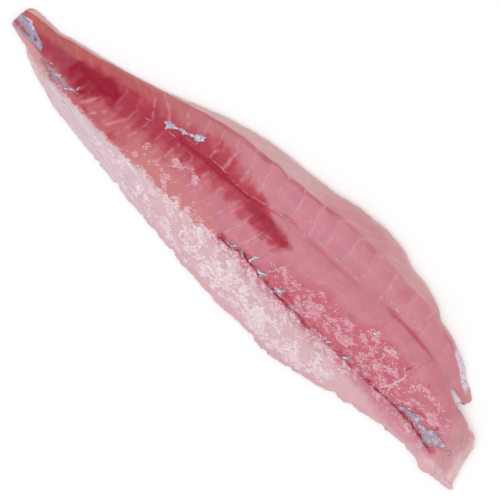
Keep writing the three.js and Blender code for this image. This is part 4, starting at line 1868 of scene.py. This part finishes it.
# ---- torn films ----
@dataclass
class FilmPatch:
    """A thin torn film that lies on the flesh, thickest in its middle."""

    name: str
    spines: tuple[Spine, ...]
    finish: TornFilm
    lift: float = 0.35
    tear: float = 0.5
    tear_size: float = 1.3
    holes: tuple[Blot, ...] = ()
    seed: int = 200
    cell: float = 0.22

    def cover(self, x: Grid, y: Grid) -> Grid:
        """Positive inside the film, in millimetres from its torn edge.

        Args:
            x: positions along the fillet, in millimetres.
            y: positions across it.

        Returns:
            The cover at each point.
        """
        inside = np.full(np.shape(x), -9.0)
        for spine in self.spines:
            away, half = near_path(x, y, spine)
            inside = np.maximum(inside, half - away)
        u, v = x / self.tear_size, y / self.tear_size
        torn = noise(u, v, self.seed) + 0.6 * noise(2.3 * u, 2.3 * v, self.seed + 1)
        inside = inside + self.tear * torn
        for hole in self.holes:
            inside = inside - 2.5 * hole.cover(x, y)
        return inside

    def build(self, body: FilletBody) -> Object:
        """Make the film as a thin closed shell that follows the flesh.

        Args:
            body: the fillet that it lies on.

        Returns:
            The film's object.
        """
        bends = [bend for spine in self.spines for bend in spine]
        xs, ys = [b[0] for b in bends], [b[1] for b in bends]
        reach = max(b[2] for b in bends) + 2 * self.tear + 0.6
        gx = np.arange(min(xs) - reach, max(xs) + reach, self.cell)
        gy = np.arange(min(ys) - reach, max(ys) + reach, self.cell)
        x, y = np.meshgrid(gx, gy, indexing="ij")
        inside = self.cover(x, y)
        keep = inside > 0
        points: list[tuple[float, float, float]] = []
        depth: list[float] = []
        number: dict[tuple[int, int], int] = {}
        lows: dict[tuple[int, int], int] = {}

        def corner(i: int, j: int) -> bool:
            """Place the upper and lower point of a grid corner, if flesh is under it.

            Args:
                i: grid column.
                j: grid row.

            Returns:
                Whether the corner could be placed.
            """
            if (i, j) in number:
                return True
            z = body.height_at(x[i, j], y[i, j])
            if z is None:
                return False
            deep = max(0.0, min(1.0, inside[i, j] / 0.8))
            ruffle = 0.14 * float(noise(x[i, j] / 0.7, y[i, j] / 0.7, self.seed + 5))
            rise = 0.05 + self.lift * deep + ruffle * deep
            number[i, j] = len(points)
            points.append((x[i, j], y[i, j], z + rise))
            lows[i, j] = len(points)
            points.append((x[i, j], y[i, j], z - 0.12))
            depth.extend((deep, deep))
            return True

        faces: list[tuple[int, ...]] = []
        edges: dict[tuple[tuple[int, int], tuple[int, int]], int] = {}
        for i in range(len(gx) - 1):
            for j in range(len(gy) - 1):
                ring = [(i, j), (i + 1, j), (i + 1, j + 1), (i, j + 1)]
                if not all(keep[c] for c in ring) or not all(corner(*c) for c in ring):
                    continue
                faces.append(tuple(number[c] for c in ring))
                faces.append(tuple(lows[c] for c in reversed(ring)))
                for a, b in zip(ring, ring[1:] + ring[:1]):
                    edges[a, b] = 1
        for a, b in edges:
            if (b, a) not in edges:
                faces.append((number[b], number[a], lows[a], lows[b]))
        mesh = mesh_from(self.name, np.array(points), faces)
        attach(mesh, "inner", np.array(depth))
        mesh.materials.append(self.finish.build())
        return put_in_scene(self.name, mesh)


# ---- the scene ----
@dataclass(frozen=True)
class Studio:
    """Plain pale floor, soft light from above and a little from the belly side, and a camera
    straight above. Lengths are in millimetres."""

    frame: float = 186.3
    middle: tuple[float, float] = (3.06, -9.79)
    roll_deg: float = 46.7
    lens: float = 100.0
    sensor: float = 36.0
    floor_half: float = 3000.0
    floor_z: float = -0.05
    lamp_place: tuple[float, float, float] = (20.0, -140.0, 740.0)
    lamp_size: tuple[float, float] = (500.0, 400.0)
    lamp_power: float = 2.5
    lamp_colour: str = "#D6EDFF"
    sky: float = 0.83
    sky_colour: str = "#FFF4EA"

    def build(self) -> None:
        """Make the floor, lamp, sky and camera."""
        self.floor()
        self.lights()
        self.camera()

    def floor(self) -> None:
        """A large pale sheet under the fillet."""
        half, z = self.floor_half, self.floor_z
        corners = [(-half, -half, z), (half, -half, z), (half, half, z), (-half, half, z)]
        mesh = mesh_from("floor", corners, [(0, 1, 2, 3)])
        material, s, paint = new_material("pale_floor")
        tone = s.blend(s.grain((60, 60, 60)), "#FBFBFB", "#FDFDFD")
        feed(s.tree, paint, {"Base Color": tone, "Roughness": 0.8})
        mesh.materials.append(material)
        put_in_scene("floor", mesh)

    def lights(self) -> None:
        """A broad lamp nearly overhead, and an even, slightly warm sky."""
        world = bpy.data.worlds.new("sky")
        bpy.context.scene.world = world
        world.use_nodes = True
        feed(world.node_tree, world.node_tree.nodes["Background"],
             {0: linear(self.sky_colour), 1: self.sky})
        lamp = bpy.data.lights.new("window", "AREA")
        lamp.shape = "RECTANGLE"
        lamp.size, lamp.size_y = (side * MM for side in self.lamp_size)
        lamp.energy = self.lamp_power
        lamp.color = linear(self.lamp_colour)[:3]
        holder = put_in_scene("window", lamp)
        holder.location = Vector(self.lamp_place) * MM
        holder.rotation_euler = (-holder.location).to_track_quat("-Z", "Y").to_euler()
        bpy.context.scene.view_settings.view_transform = "Standard"

    def camera(self) -> None:
        """A long lens straight above, rolled so that the fillet runs across the corners."""
        data = bpy.data.cameras.new("camera")
        data.lens, data.sensor_width = self.lens, self.sensor
        holder = put_in_scene("camera", data)
        height = self.frame * self.lens / self.sensor + 1.5
        holder.location = Vector((*self.middle, height)) * MM
        holder.rotation_euler = (0, 0, math.radians(self.roll_deg))
        bpy.context.scene.camera = holder


TAIL_FILM = TornFilm("silverskin_tail", "#9488A0", "#AFA0B8", "#7E3444", 0.3)
REMNANT_FILM = TornFilm("silverskin_remnant", "#A6717D", "#B590A2", "#86505E", 0.6, "#80686E")
PALE_FILM = TornFilm("silverskin_pale", "#C9B4C6", "#DECFDC", "#B98497", 0.3)
MIDDLE_FILM = TornFilm("silverskin_middle", "#AC9EB4", "#D3C8D6", "#A06A80", 0.3, "#96859C")
SEAM_FILM = TornFilm("silverskin_seam", "#A9A2AE", "#DCD7E0", "#7E5362", 0.4, "#77616F")
HEAD_FILM = TornFilm("peritoneum_head", "#A0889B", "#C6B4C5", "#8E5C70", 0.35, "#857A90")


def films() -> list[FilmPatch]:
    """Every torn film, from the tail to the head.

    Returns:
        The films, not yet built.
    """
    return [
        FilmPatch(
            'tail_film',
            ((
                    (-119.2, -12.8, 1.3), (-117, -12.6, 1.7), (-114, -12.8, 1.8),
                    (-111, -13.2, 1.6), (-108, -14, 1.8), (-105, -14.9, 1.1),
                    (-103.6, -15.2, 0.4)),
                ((-118.9, -15.7, 0.5), (-114, -15.8, 0.6), (-109, -15.6, 0.8))),
            TAIL_FILM, tear=0.4, holes=(Blot(-108.2, -14, 1, 0.35, -10, 0.8),), seed=210),
        FilmPatch(
            'tail_film_light',
            (((-116.6, -11.2, 0.5), (-114.4, -10.7, 0.9), (-113.4, -11.8, 0.6)),
                ((-112.4, -11.8, 0.8), (-110.8, -12.6, 0.5))),
            PALE_FILM, lift=0.5, tear=0.3, tear_size=0.8, seed=215),
        FilmPatch(
            'tail_remnant',
            ((
                    (-101, -17.4, 0.9), (-97, -17.6, 1.5), (-93.5, -18.4, 2.3), (-90, -17.5, 1.7),
                    (-86, -17.6, 1.2), (-82.8, -16.8, 0.4)),),
            REMNANT_FILM, lift=0.2, tear=1.15, tear_size=0.8, seed=220),
        FilmPatch(
            'remnant_flecks',
            (((-93.6, -18, 0.6), (-92.2, -16.6, 0.7)), ((-87.6, -18.8, 0.4), (-85.2, -17, 0.5)),
                ((-98, -16.2, 0.3), (-97.2, -15.6, 0.3)),
                ((-83.8, -15.8, 0.3), (-83.9, -14.6, 0.25)),
                ((-101, -17, 0.25), (-99.6, -16.8, 0.3))),
            PALE_FILM, lift=0.45, tear=0.2, tear_size=0.8, seed=230),
        FilmPatch(
            'middle_film',
            ((
                    (-52.2, 0, 0.8), (-50.6, 0.1, 1.5), (-49.2, 0.7, 1.1), (-47.6, 1.5, 0.6),
                    (-46, 2.2, 0.9), (-45, 2.1, 0.8), (-43.4, 3.1, 0.5), (-41.4, 3.8, 0.8),
                    (-40, 4.4, 1.5), (-39, 5.3, 1.4), (-38.4, 6.2, 0.8)),
                ((-50.9, 0, 0.8), (-50.8, -1.3, 0.6)), ((-50.6, 0.8, 0.3), (-50.2, 1.5, 0.2)),
                ((-38.6, 5.4, 0.4), (-37.3, 5.4, 0.3)), ((-39.4, 4, 0.3), (-39, 3.2, 0.2))),
            MIDDLE_FILM, tear=0.42, tear_size=0.9, seed=250),
        FilmPatch(
            'seam_flakes',
            (((-2.8, -13.9, 0.6), (-1.6, -12.4, 0.6)), ((1.4, -12.3, 0.6), (2.8, -13.4, 0.7)),
                ((5.9, -12.8, 0.7), (6.4, -10.8, 1.0), (7.4, -9.2, 0.5)),
                ((9.6, -12.4, 0.4), (12.4, -13.3, 0.9), (14, -11.6, 0.8)),
                ((17, -13.8, 0.3), (18.6, -14, 0.4)),
                ((20.6, -13.6, 0.7), (21.6, -12.2, 1.1), (22.8, -10.8, 0.6)),
                ((28, -13.8, 0.4), (30.2, -12.2, 0.6)), ((39, -13.2, 0.3), (40.6, -13.4, 0.35)),
                ((47.2, -12.6, 0.6), (48.6, -11.4, 0.6)), ((55.8, -12.2, 0.5), (57.2, -10.8, 0.8)),
                ((65, -11.6, 0.3), (66.2, -10.8, 0.4)), ((-9.4, -13.6, 0.4), (-8.6, -13.2, 0.4)),
                ((56, 2.4, 0.5), (57.6, 2.3, 0.4)), ((65.2, 3, 0.4), (65.8, 3.4, 0.4)),
                ((48.6, 1.4, 0.4), (49, 0.8, 0.3))),
            SEAM_FILM, lift=0.5, tear=0.35, tear_size=0.8, seed=280),
        FilmPatch(
            'belly_strip',
            ((
                    (76, 0, 0.3), (75.8, -3, 0.5), (75, -5.6, 0.5), (73.8, -8.4, 0.5),
                    (72.9, -10, 0.4)),
                ((75.2, -6.4, 0.3), (76, -8.6, 0.4), (77, -9.8, 0.3))),
            TornFilm('silverskin_strip', '#DCA3B5', '#E6B9C8', '#C4788C', 0.3), lift=0.25,
            tear=0.25, seed=290),
        FilmPatch(
            'head_film',
            ((
                    (83.4, -9, 0.5), (85, -8.6, 0.8), (87, -8.4, 0.9), (90.6, -8.1, 1.4),
                    (93, -8.8, 1.1), (95.5, -8.9, 1.5), (98.6, -9.1, 3.1), (101, -8.5, 2.4),
                    (104, -8, 1.5), (105, -8, 0.5)),
                ((106.3, -7.9, 0.3), (107.9, -7.8, 0.8))),
            HEAD_FILM, lift=0.6, tear=0.55, tear_size=1.1, seed=260)]


@dataclass
class Recipe:
    """A geometry node tree made here, with named inputs, that is run once on a carrier mesh."""

    name: str
    tree: GeometryNodeTree = field(init=False)
    start: Node = field(init=False)

    def __post_init__(self) -> None:
        """Make the empty tree with its geometry input and output."""
        self.tree = bpy.data.node_groups.new(self.name, "GeometryNodeTree")
        face = self.tree.interface
        face.new_socket("Geometry", in_out="INPUT", socket_type="NodeSocketGeometry")
        face.new_socket("Geometry", in_out="OUTPUT", socket_type="NodeSocketGeometry")
        self.start = self.tree.nodes.new("NodeGroupInput")

    def input(self, name: str, kind: str = "NodeSocketFloat") -> NodeSocket:
        """Add a named input and return its socket."""
        self.tree.interface.new_socket(name, in_out="INPUT", socket_type=kind)
        return self.start.outputs[name]

    def node(self, kind: str, inputs: dict | None = None, **settings: object) -> Node:
        """Add a node to this tree."""
        return add(self.tree, kind, inputs, **settings)

    def out(self, kind: str, inputs: dict | None = None,
            **settings: object) -> NodeSocket:
        """Add a node and return its first output."""
        return self.node(kind, inputs, **settings).outputs[0]

    def shaken(self, shape: NodeSocket, cells: object,
               reach: object) -> NodeSocket:
        """The shape with its points moved about by a smooth noise.

        Args:
            shape: the geometry to move.
            cells: how many cells of the noise go into a metre.
            reach: how far points move, in metres.

        Returns:
            The moved geometry.
        """
        place = self.out("GeometryNodeInputPosition")
        scaled = self.out("ShaderNodeVectorMath", {0: place, "Scale": cells}, operation="SCALE")
        cloud = self.node("ShaderNodeTexNoise", {"Vector": scaled, "Scale": 1.0}).outputs["Color"]
        half = (0.5, 0.5, 0.5)
        middle = self.out("ShaderNodeVectorMath", {0: cloud, 1: half}, operation="SUBTRACT")
        shift = self.out("ShaderNodeVectorMath", {0: middle, "Scale": reach}, operation="SCALE")
        return self.out("GeometryNodeSetPosition", {0: shape, "Offset": shift})

    def finish(self, shape: NodeSocket) -> None:
        """Make the shape real, smooth and dressed, and give it out.

        Args:
            shape: the geometry to give out.
        """
        real = self.out("GeometryNodeRealizeInstances", {0: shape})
        soft = self.out("GeometryNodeSetShadeSmooth", {0: real})
        look = self.input("Material", "NodeSocketMaterial")
        dressed = self.out("GeometryNodeSetMaterial", {0: soft, "Material": look})
        self.tree.links.new(dressed, self.tree.nodes.new("NodeGroupOutput").inputs[0])

    def run(self, carrier: Object, values: dict[str, object]) -> None:
        """Run the tree on the carrier and keep the result as its plain mesh.

        Args:
            carrier: the object whose mesh feeds the tree.
            values: input name to value.
        """
        modifier = carrier.modifiers.new(self.name, "NODES")
        modifier.node_group = self.tree
        for item in self.tree.interface.items_tree:
            if item.item_type == "SOCKET" and item.in_out == "INPUT" and item.name in values:
                modifier[item.identifier] = values[item.name]
        graph = bpy.context.evaluated_depsgraph_get()
        mesh = bpy.data.meshes.new_from_object(carrier.evaluated_get(graph), depsgraph=graph)
        mesh.name = carrier.name
        carrier.modifiers.remove(modifier)
        used = carrier.data
        carrier.data = mesh
        bpy.data.meshes.remove(used)


def strand_recipe() -> Recipe:
    """Sweeps each edge path into a round strand that wavers a little.

    Returns:
        The recipe, whose inputs are Waver size and Waver.
    """
    r = Recipe("strand_recipe")
    path = r.out("GeometryNodeMeshToCurve", {0: r.start.outputs["Geometry"]})
    moved = r.shaken(path, r.input("Waver size"), r.input("Waver"))
    ring = r.out("GeometryNodeCurvePrimitiveCircle", {"Resolution": 6, "Radius": 1.0})
    thick = r.out("GeometryNodeInputNamedAttribute", {"Name": "thick"})
    r.finish(r.out("GeometryNodeCurveToMesh",
                   {0: moved, 1: ring, "Scale": thick, "Fill Caps": True}))
    return r


def fleck_recipe() -> Recipe:
    """Strews flat, irregular flecks over the carrier, as dense as its density says.

    Returns:
        The recipe, whose inputs are Seed, Least, Most, Cells and Rough.
    """
    r = Recipe("fleck_recipe")
    dense = r.out("GeometryNodeInputNamedAttribute", {"Name": "density"})
    spots = r.node("GeometryNodeDistributePointsOnFaces", {
        0: r.start.outputs["Geometry"], "Density": dense, "Seed": r.input("Seed", "NodeSocketInt")})
    ball = r.out("GeometryNodeMeshIcoSphere", {"Radius": 1.0, "Subdivisions": 2})
    flat = r.out("GeometryNodeTransform", {0: ball, "Scale": (1.0, 0.6, 0.28)})
    angle = r.node("FunctionNodeRandomValue", {2: -0.6, 3: 0.6, "Seed": 5},
                   data_type="FLOAT").outputs[1]
    turn = r.out("FunctionNodeAxisAngleToRotation", {"Axis": (0.0, 0.0, 1.0), "Angle": angle})
    turned = r.out("FunctionNodeRotateRotation", {0: spots.outputs["Rotation"], 1: turn},
                   rotation_space="LOCAL")
    least, most = r.input("Least"), r.input("Most")
    size = r.node("FunctionNodeRandomValue", {2: least, 3: most, "Seed": 9},
                  data_type="FLOAT").outputs[1]
    copies = r.out("GeometryNodeInstanceOnPoints", {
        0: spots.outputs["Points"], "Instance": flat, "Rotation": turned, "Scale": size})
    real = r.out("GeometryNodeRealizeInstances", {0: copies})
    r.finish(r.shaken(real, r.input("Cells"), r.input("Rough")))
    return r


@dataclass
class StrandSet:
    """Threads of connective tissue that lie half sunk in the flesh."""

    name: str
    paths: list[Spine]
    finish: TornFilm
    sunk: float = 0.05
    uneven: float = 0.6
    step: float = 0.5
    waver: float = 0.5
    seed: int = 300
    thinner: float = 1.0

    def build(self, body: FilletBody, recipe: Recipe) -> Object:
        """Lay every path on the flesh and sweep it.

        Args:
            body: the built fillet.
            recipe: the node tree that shapes the pieces.

        Returns:
            The threads' object.
        """
        points: list[tuple[float, float, float]] = []
        thick: list[float] = []
        edges: list[tuple[int, int]] = []
        for path in self.paths:
            first = True
            for a, b in zip(path, path[1:]):
                count = max(1, round(math.dist(a[:2], b[:2]) / self.step))
                for k in range(count + (b is path[-1])):
                    x, y, r = (a[i] + (b[i] - a[i]) * k / count for i in range(3))
                    z = body.height_at(x, y)
                    if z is None:
                        first = True
                        continue
                    swing = float(noise(np.array(x / 2.5), np.array(y / 2.5), self.seed))
                    if not first:
                        edges.append((len(points) - 1, len(points)))
                    points.append((x, y, z - self.sunk))
                    thick.append(max(0.02, self.thinner * r * (1 + self.uneven * swing)) * MM)
                    first = False
        mesh = bpy.data.meshes.new(self.name)
        mesh.from_pydata((np.array(points) * MM).tolist(), edges, [])
        attach(mesh, "thick", np.array(thick))
        made = put_in_scene(self.name, mesh)
        recipe.run(made, {"Waver size": 1 / (1.5 * MM), "Waver": self.waver * MM,
                          "Material": self.finish.build()})
        return made


@dataclass
class FleckSet:
    """Small shreds of torn membrane strewn over part of the flesh, coloured as pale glints: painted
    highlights as well as membrane.
    """

    name: str
    finish: TornFilm
    density: Callable[[Points], Grid]
    per_mm2: float
    least: float
    most: float
    seed: int

    def build(self, body: FilletBody, recipe: Recipe) -> Object:
        """Strew the shreds over the belly lobe and the flap.

        Args:
            body: the built fillet.
            recipe: the node tree that shapes the pieces.

        Returns:
            The shreds' object.
        """
        draft = MeshDraft()
        at, z = body.sheets[Lobe.BELLY]
        draft.cells(draft.store(at, z), True)
        mesh = mesh_from(self.name, draft.points[0], draft.faces[0].tolist())
        attach(mesh, "density", self.density(at).ravel() * self.per_mm2 / MM**2)
        made = put_in_scene(self.name, mesh)
        recipe.run(made, {"Seed": self.seed, "Least": self.least * MM, "Most": self.most * MM,
                          "Cells": 1.6 / MM, "Rough": 0.35 * self.most * MM,
                          "Material": self.finish.build()})
        return made


def septa() -> list[Spine]:
    """The seams between muscle blocks that stand up white in the cut: x, y and half width.

    Returns:
        The spine of each.
    """
    return [
        ((-28.2, -5.4, 0.1), (-29.4, -8.8, 0.2), (-30.4, -11, 0.12)),
        ((-35, -5.6, 0.1), (-36.4, -9, 0.16)),
        ((-14.2, -7.6, 0.1), (-14.6, -9, 0.13), (-15.8, -12, 0.1)),
        ((-6.4, -6.6, 0.1), (-7, -8, 0.14), (-8.6, -12.4, 0.12)),
        ((1.4, -1.6, 0.06), (0.8, -6, 0.14), (-0.6, -10.6, 0.18)),
        ((16.8, -3, 0.06), (15.6, -7, 0.14), (13.4, -11, 0.16)),
        ((24.4, -0.6, 0.08), (24.2, -3, 0.08)),
        ((40.8, -0.4, 0.14), (40.4, -4, 0.1), (39.4, -9, 0.12)), ((49, 1.6, 0.12), (49, 0.2, 0.1)),
        ((48.4, 12.6, 0.1), (48.4, 16, 0.1)),
        ((46.7, 22, 0.06), (46.9, 25.4, 0.12), (48, 27, 0.06)),
        ((40, -13, 0.1), (43, -13.2, 0.14)), ((90.8, 1, 0.1), (90.9, -1.4, 0.14), (91.4, -5, 0.1)),
        ((99, 2.4, 0.12), (99.2, 0, 0.14), (99, -4, 0.1)),
        ((81, 3.2, 0.08), (82, 0.6, 0.16), (82.8, -2.6, 0.12))]


def blood_septa() -> list[Spine]:
    """The seams that show through the blood line and below it, a little paler than the flesh.

    Returns:
        The spine of each.
    """
    return [
        ((-32.8, 8.8, 0.16), (-31.8, 6.4, 0.26), (-32.2, 3.6, 0.2)),
        ((-25.9, 10.6, 0.14), (-25.2, 6.4, 0.22), (-25.3, 3.8, 0.24)),
        ((-17.6, 9.4, 0.12), (-17.4, 5, 0.2)),
        ((-56.8, 5.6, 0.2), (-54, 3.6, 0.16), (-52, 1.2, 0.14)),
        ((-38.8, 8, 0.14), (-38.6, 6, 0.12)),
        ((-62.6, -4.6, 0.1), (-63, -9, 0.16), (-65, -13.4, 0.22), (-67.6, -17.6, 0.24)),
        ((-56.8, -4.6, 0.14), (-56.8, -8.6, 0.16), (-58, -13, 0.26), (-59.6, -15.8, 0.3)),
        ((-50.3, -1.4, 0.12), (-50.2, -8, 0.14)),
        ((-43.4, -2, 0.18), (-43.6, -8.6, 0.2), (-44.8, -12.6, 0.26)),
        ((-36.4, -2, 0.18), (-35.2, -5, 0.16), (-36.4, -9, 0.2)),
        ((-28.2, -1.4, 0.2), (-28.2, -5.4, 0.2), (-29.6, -9.4, 0.26)),
        ((-20.6, -2, 0.14), (-20.8, -6, 0.16), (-22, -10, 0.14), (-24, -14, 0.12)),
        ((-12.8, -1.6, 0.14), (-13.6, -6.4, 0.2), (-16.2, -13, 0.16)),
        ((-5.8, -1, 0.14), (-5.6, -5, 0.2), (-8, -12, 0.2)),
        ((1.6, -1.6, 0.14), (1, -5, 0.26), (-1, -12, 0.3)), ((10.4, -1, 0.12), (9.4, -6, 0.12)),
        ((17, -2, 0.14), (15.8, -7, 0.2)),
        ((-83, -8.6, 0.06), (-82.6, -12, 0.1), (-83.4, -14.4, 0.1)),
        ((-83.9, -14.8, 0.3), (-84.4, -16.2, 0.3)),
        ((-76, -11, 0.1), (-77, -14, 0.36), (-78.7, -16.6, 0.45), (-80.4, -18.6, 0.3)),
        ((-70.2, -13, 0.12), (-72.4, -15.4, 0.34), (-74.6, -18.6, 0.4)),
        ((-72.6, 0.6, 0.06), (-70.4, -3, 0.1), (-69.8, -8, 0.1), (-70.6, -12, 0.12))]


def back_septa() -> list[Spine]:
    """The fine seams between the muscle blocks of the back lobe, from the groove to the edge.

    Returns:
        The spine of each.
    """
    bends = [
        ((-104, -7), (-101, -8), (-99, -9.4)), ((-97, -4.6), (-94, -5.6), (-92.4, -7.6)),
        ((-93, -2.6), (-89, -3.6), (-86.4, -5.6)), ((-73, 3), (-68, 1.6), (-65, -1), (-63.6, -4)),
        ((-66, 5), (-62, 3.6), (-58.6, 0), (-56.6, -3)),
        ((-60, 6.6), (-57, 5), (-54, 3.4), (-51.5, 1)), ((-49, 8), (-47.5, 7), (-45.5, 4)),
        ((-41.5, 12), (-40, 9.6), (-39.2, 6.8)), ((-35, 13.4), (-33.2, 9), (-31.5, 3)),
        ((-29, 15), (-28, 13), (-26.3, 12), (-25.8, 5)),
        ((-22, 17), (-20, 14), (-18, 9), (-17.5, 5)), ((-14, 18), (-12.5, 14), (-10.5, 9)),
        ((-4, 22), (-6.4, 20), (-6, 15), (-4, 11)),
        ((9, 23.8), (5, 22), (0.8, 20), (3, 17), (4, 14), (4, 10)),
        ((25, 31), (19, 28), (14, 25), (10, 22.4), (10.4, 18), (13, 13), (13.4, 10.6)),
        ((28, 26), (23, 24.6), (18.6, 23), (18, 20), (20, 16), (20.5, 11)),
        ((38, 30), (33, 27), (29, 24), (27.6, 22), (28.5, 18), (29, 12)),
        ((44, 26.8), (40, 25.6), (36.6, 22.6), (36.5, 21), (38, 17), (38, 12)),
        ((55, 25.2), (50, 25), (44, 25)), ((48, 27.5), (46.5, 23.4), (48, 18), (48.5, 13)),
        ((58.4, 27.4), (57, 25), (57.5, 23), (58.8, 18), (59, 14)),
        ((66, 24), (65.6, 20), (66, 15.4)), ((29, 0.5), (33, 4), (40, 7.4)),
        ((42, 0.6), (47, 4), (52, 7)), ((60, 3.6), (64, 6.6), (70, 8.6))]
    return [tuple((x, y, 0.08 if x < -62 or (x > 28 and y < 9) else 0.2) for x, y in bend)
            for bend in bends]


def groove_threads() -> list[Spine]:
    """The pale thread that lies along the groove, and the small veins near it.

    Returns:
        The spine of each.
    """
    return [
        ((-33, 2.6, 0.08), (-26, 3.3, 0.12), (-20, 3, 0.1), (-13, 3.5, 0.1), (-8, 5, 0.1),
            (-3, 6.3, 0.12), (3, 7.6, 0.13), (8, 9.4, 0.15), (12, 10.1, 0.12), (16, 10.4, 0.13),
            (20, 10.9, 0.12), (25, 11.1, 0.16), (32, 11.2, 0.15), (44, 11.4, 0.09)),
        ((-113.2, -7.5, 0.16), (-111.6, -8, 0.26), (-109.6, -9.3, 0.18), (-107, -10, 0.08)),
        ((-39, 4.2, 0.08), (-38.6, 2.2, 0.1), (-42, 1.5, 0.07), (-45, 1.3, 0.07)),
        ((-59, -4.5, 0.1), (-57, -4, 0.14), (-54, -3.6, 0.07), (-52, -1.6, 0.07)),
        ((-50, -1.9, 0.07), (-46, -1.2, 0.09)), ((-38.6, -1.4, 0.1), (-36.4, -1.5, 0.2)),
        ((-13, -0.2, 0.1), (-11, 0, 0.14)), ((7.6, 2.2, 0.12), (9.6, 1.9, 0.12)),
        ((3, -3.4, 0.1), (6, -4.4, 0.14)), ((5.6, -6.6, 0.12), (9.4, -5, 0.12)),
        ((3.4, -1.8, 0.08), (6, -1.2, 0.08)),
        ((-85.6, -11.2, 0.06), (-84, -10.6, 0.1), (-82, -10.2, 0.1), (-79.6, -10.2, 0.06)),
        ((51, 13.2, 0.08), (54, 13.7, 0.14), (58, 13.8, 0.08)), ((13, 4, 0.08), (17.6, 5, 0.14)),
        ((105.6, -13, 0.1), (108.8, -14.8, 0.16)), ((114, -15.6, 0.3), (116.8, -15.3, 0.36))]


def clinging(body: FilletBody) -> list[Object]:
    """Build all that clings to the flesh: films, threads and shreds.

    Args:
        body: the built fillet.

    Returns:
        The pieces.
    """
    strands, flecks = strand_recipe(), fleck_recipe()
    thread = TornFilm("connective_thread", "#D09AA8", "#DDB7C2", "#BE7485", 0.5)
    fine = TornFilm("connective_seam", "#CB929D", "#D6A6B0", "#BC6E7C", 0.5)
    # Membrane shreds coloured as painted highlights: bright lilac-pink glints.
    shreds = TornFilm("membrane_shreds_and_glints", "#D9A2B3", "#E8C4D1", "#C4758A", 0.4)
    threads = (
        StrandSet("septum_threads", septa(), thread, sunk=0.05, uneven=1.0),
        StrandSet("groove_threads", groove_threads(), thread, sunk=0.04, uneven=1.0, thinner=0.8,
                  seed=310),
        StrandSet("back_septa", back_septa(), fine, sunk=0.07, uneven=0.9, thinner=0.5, seed=320))
    pieces = [patch.build(body) for patch in films()]
    pieces += [group.build(body, strands) for group in threads]
    strewn = FleckSet("belly_shreds_and_glints", shreds, body.detail.tatter_share, 0.16, 0.15, 0.5, 7)
    return pieces + [strewn.build(body, flecks)]


def main() -> None:
    """Build the fillet, its films and the studio, and report each piece."""
    logging.basicConfig(level=logging.INFO, format="%(message)s")
    form = FilletForm()
    detail = SurfaceDetail(form)
    body = FilletBody(form, detail, FleshZones(form, detail, tuple(blood_septa() + back_septa())))
    flesh = body.build()
    flesh.data.materials.append(RawFlesh().build())
    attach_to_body(flesh, "root")
    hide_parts("fillet")
    LOG.info("%s: %d faces", flesh.name, len(flesh.data.polygons))
    for piece in clinging(body):
        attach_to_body(piece, "root")
        LOG.info("%s: %d faces", piece.name, len(piece.data.polygons))
    Studio().build()
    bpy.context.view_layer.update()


if __name__ == "__main__":
    main()
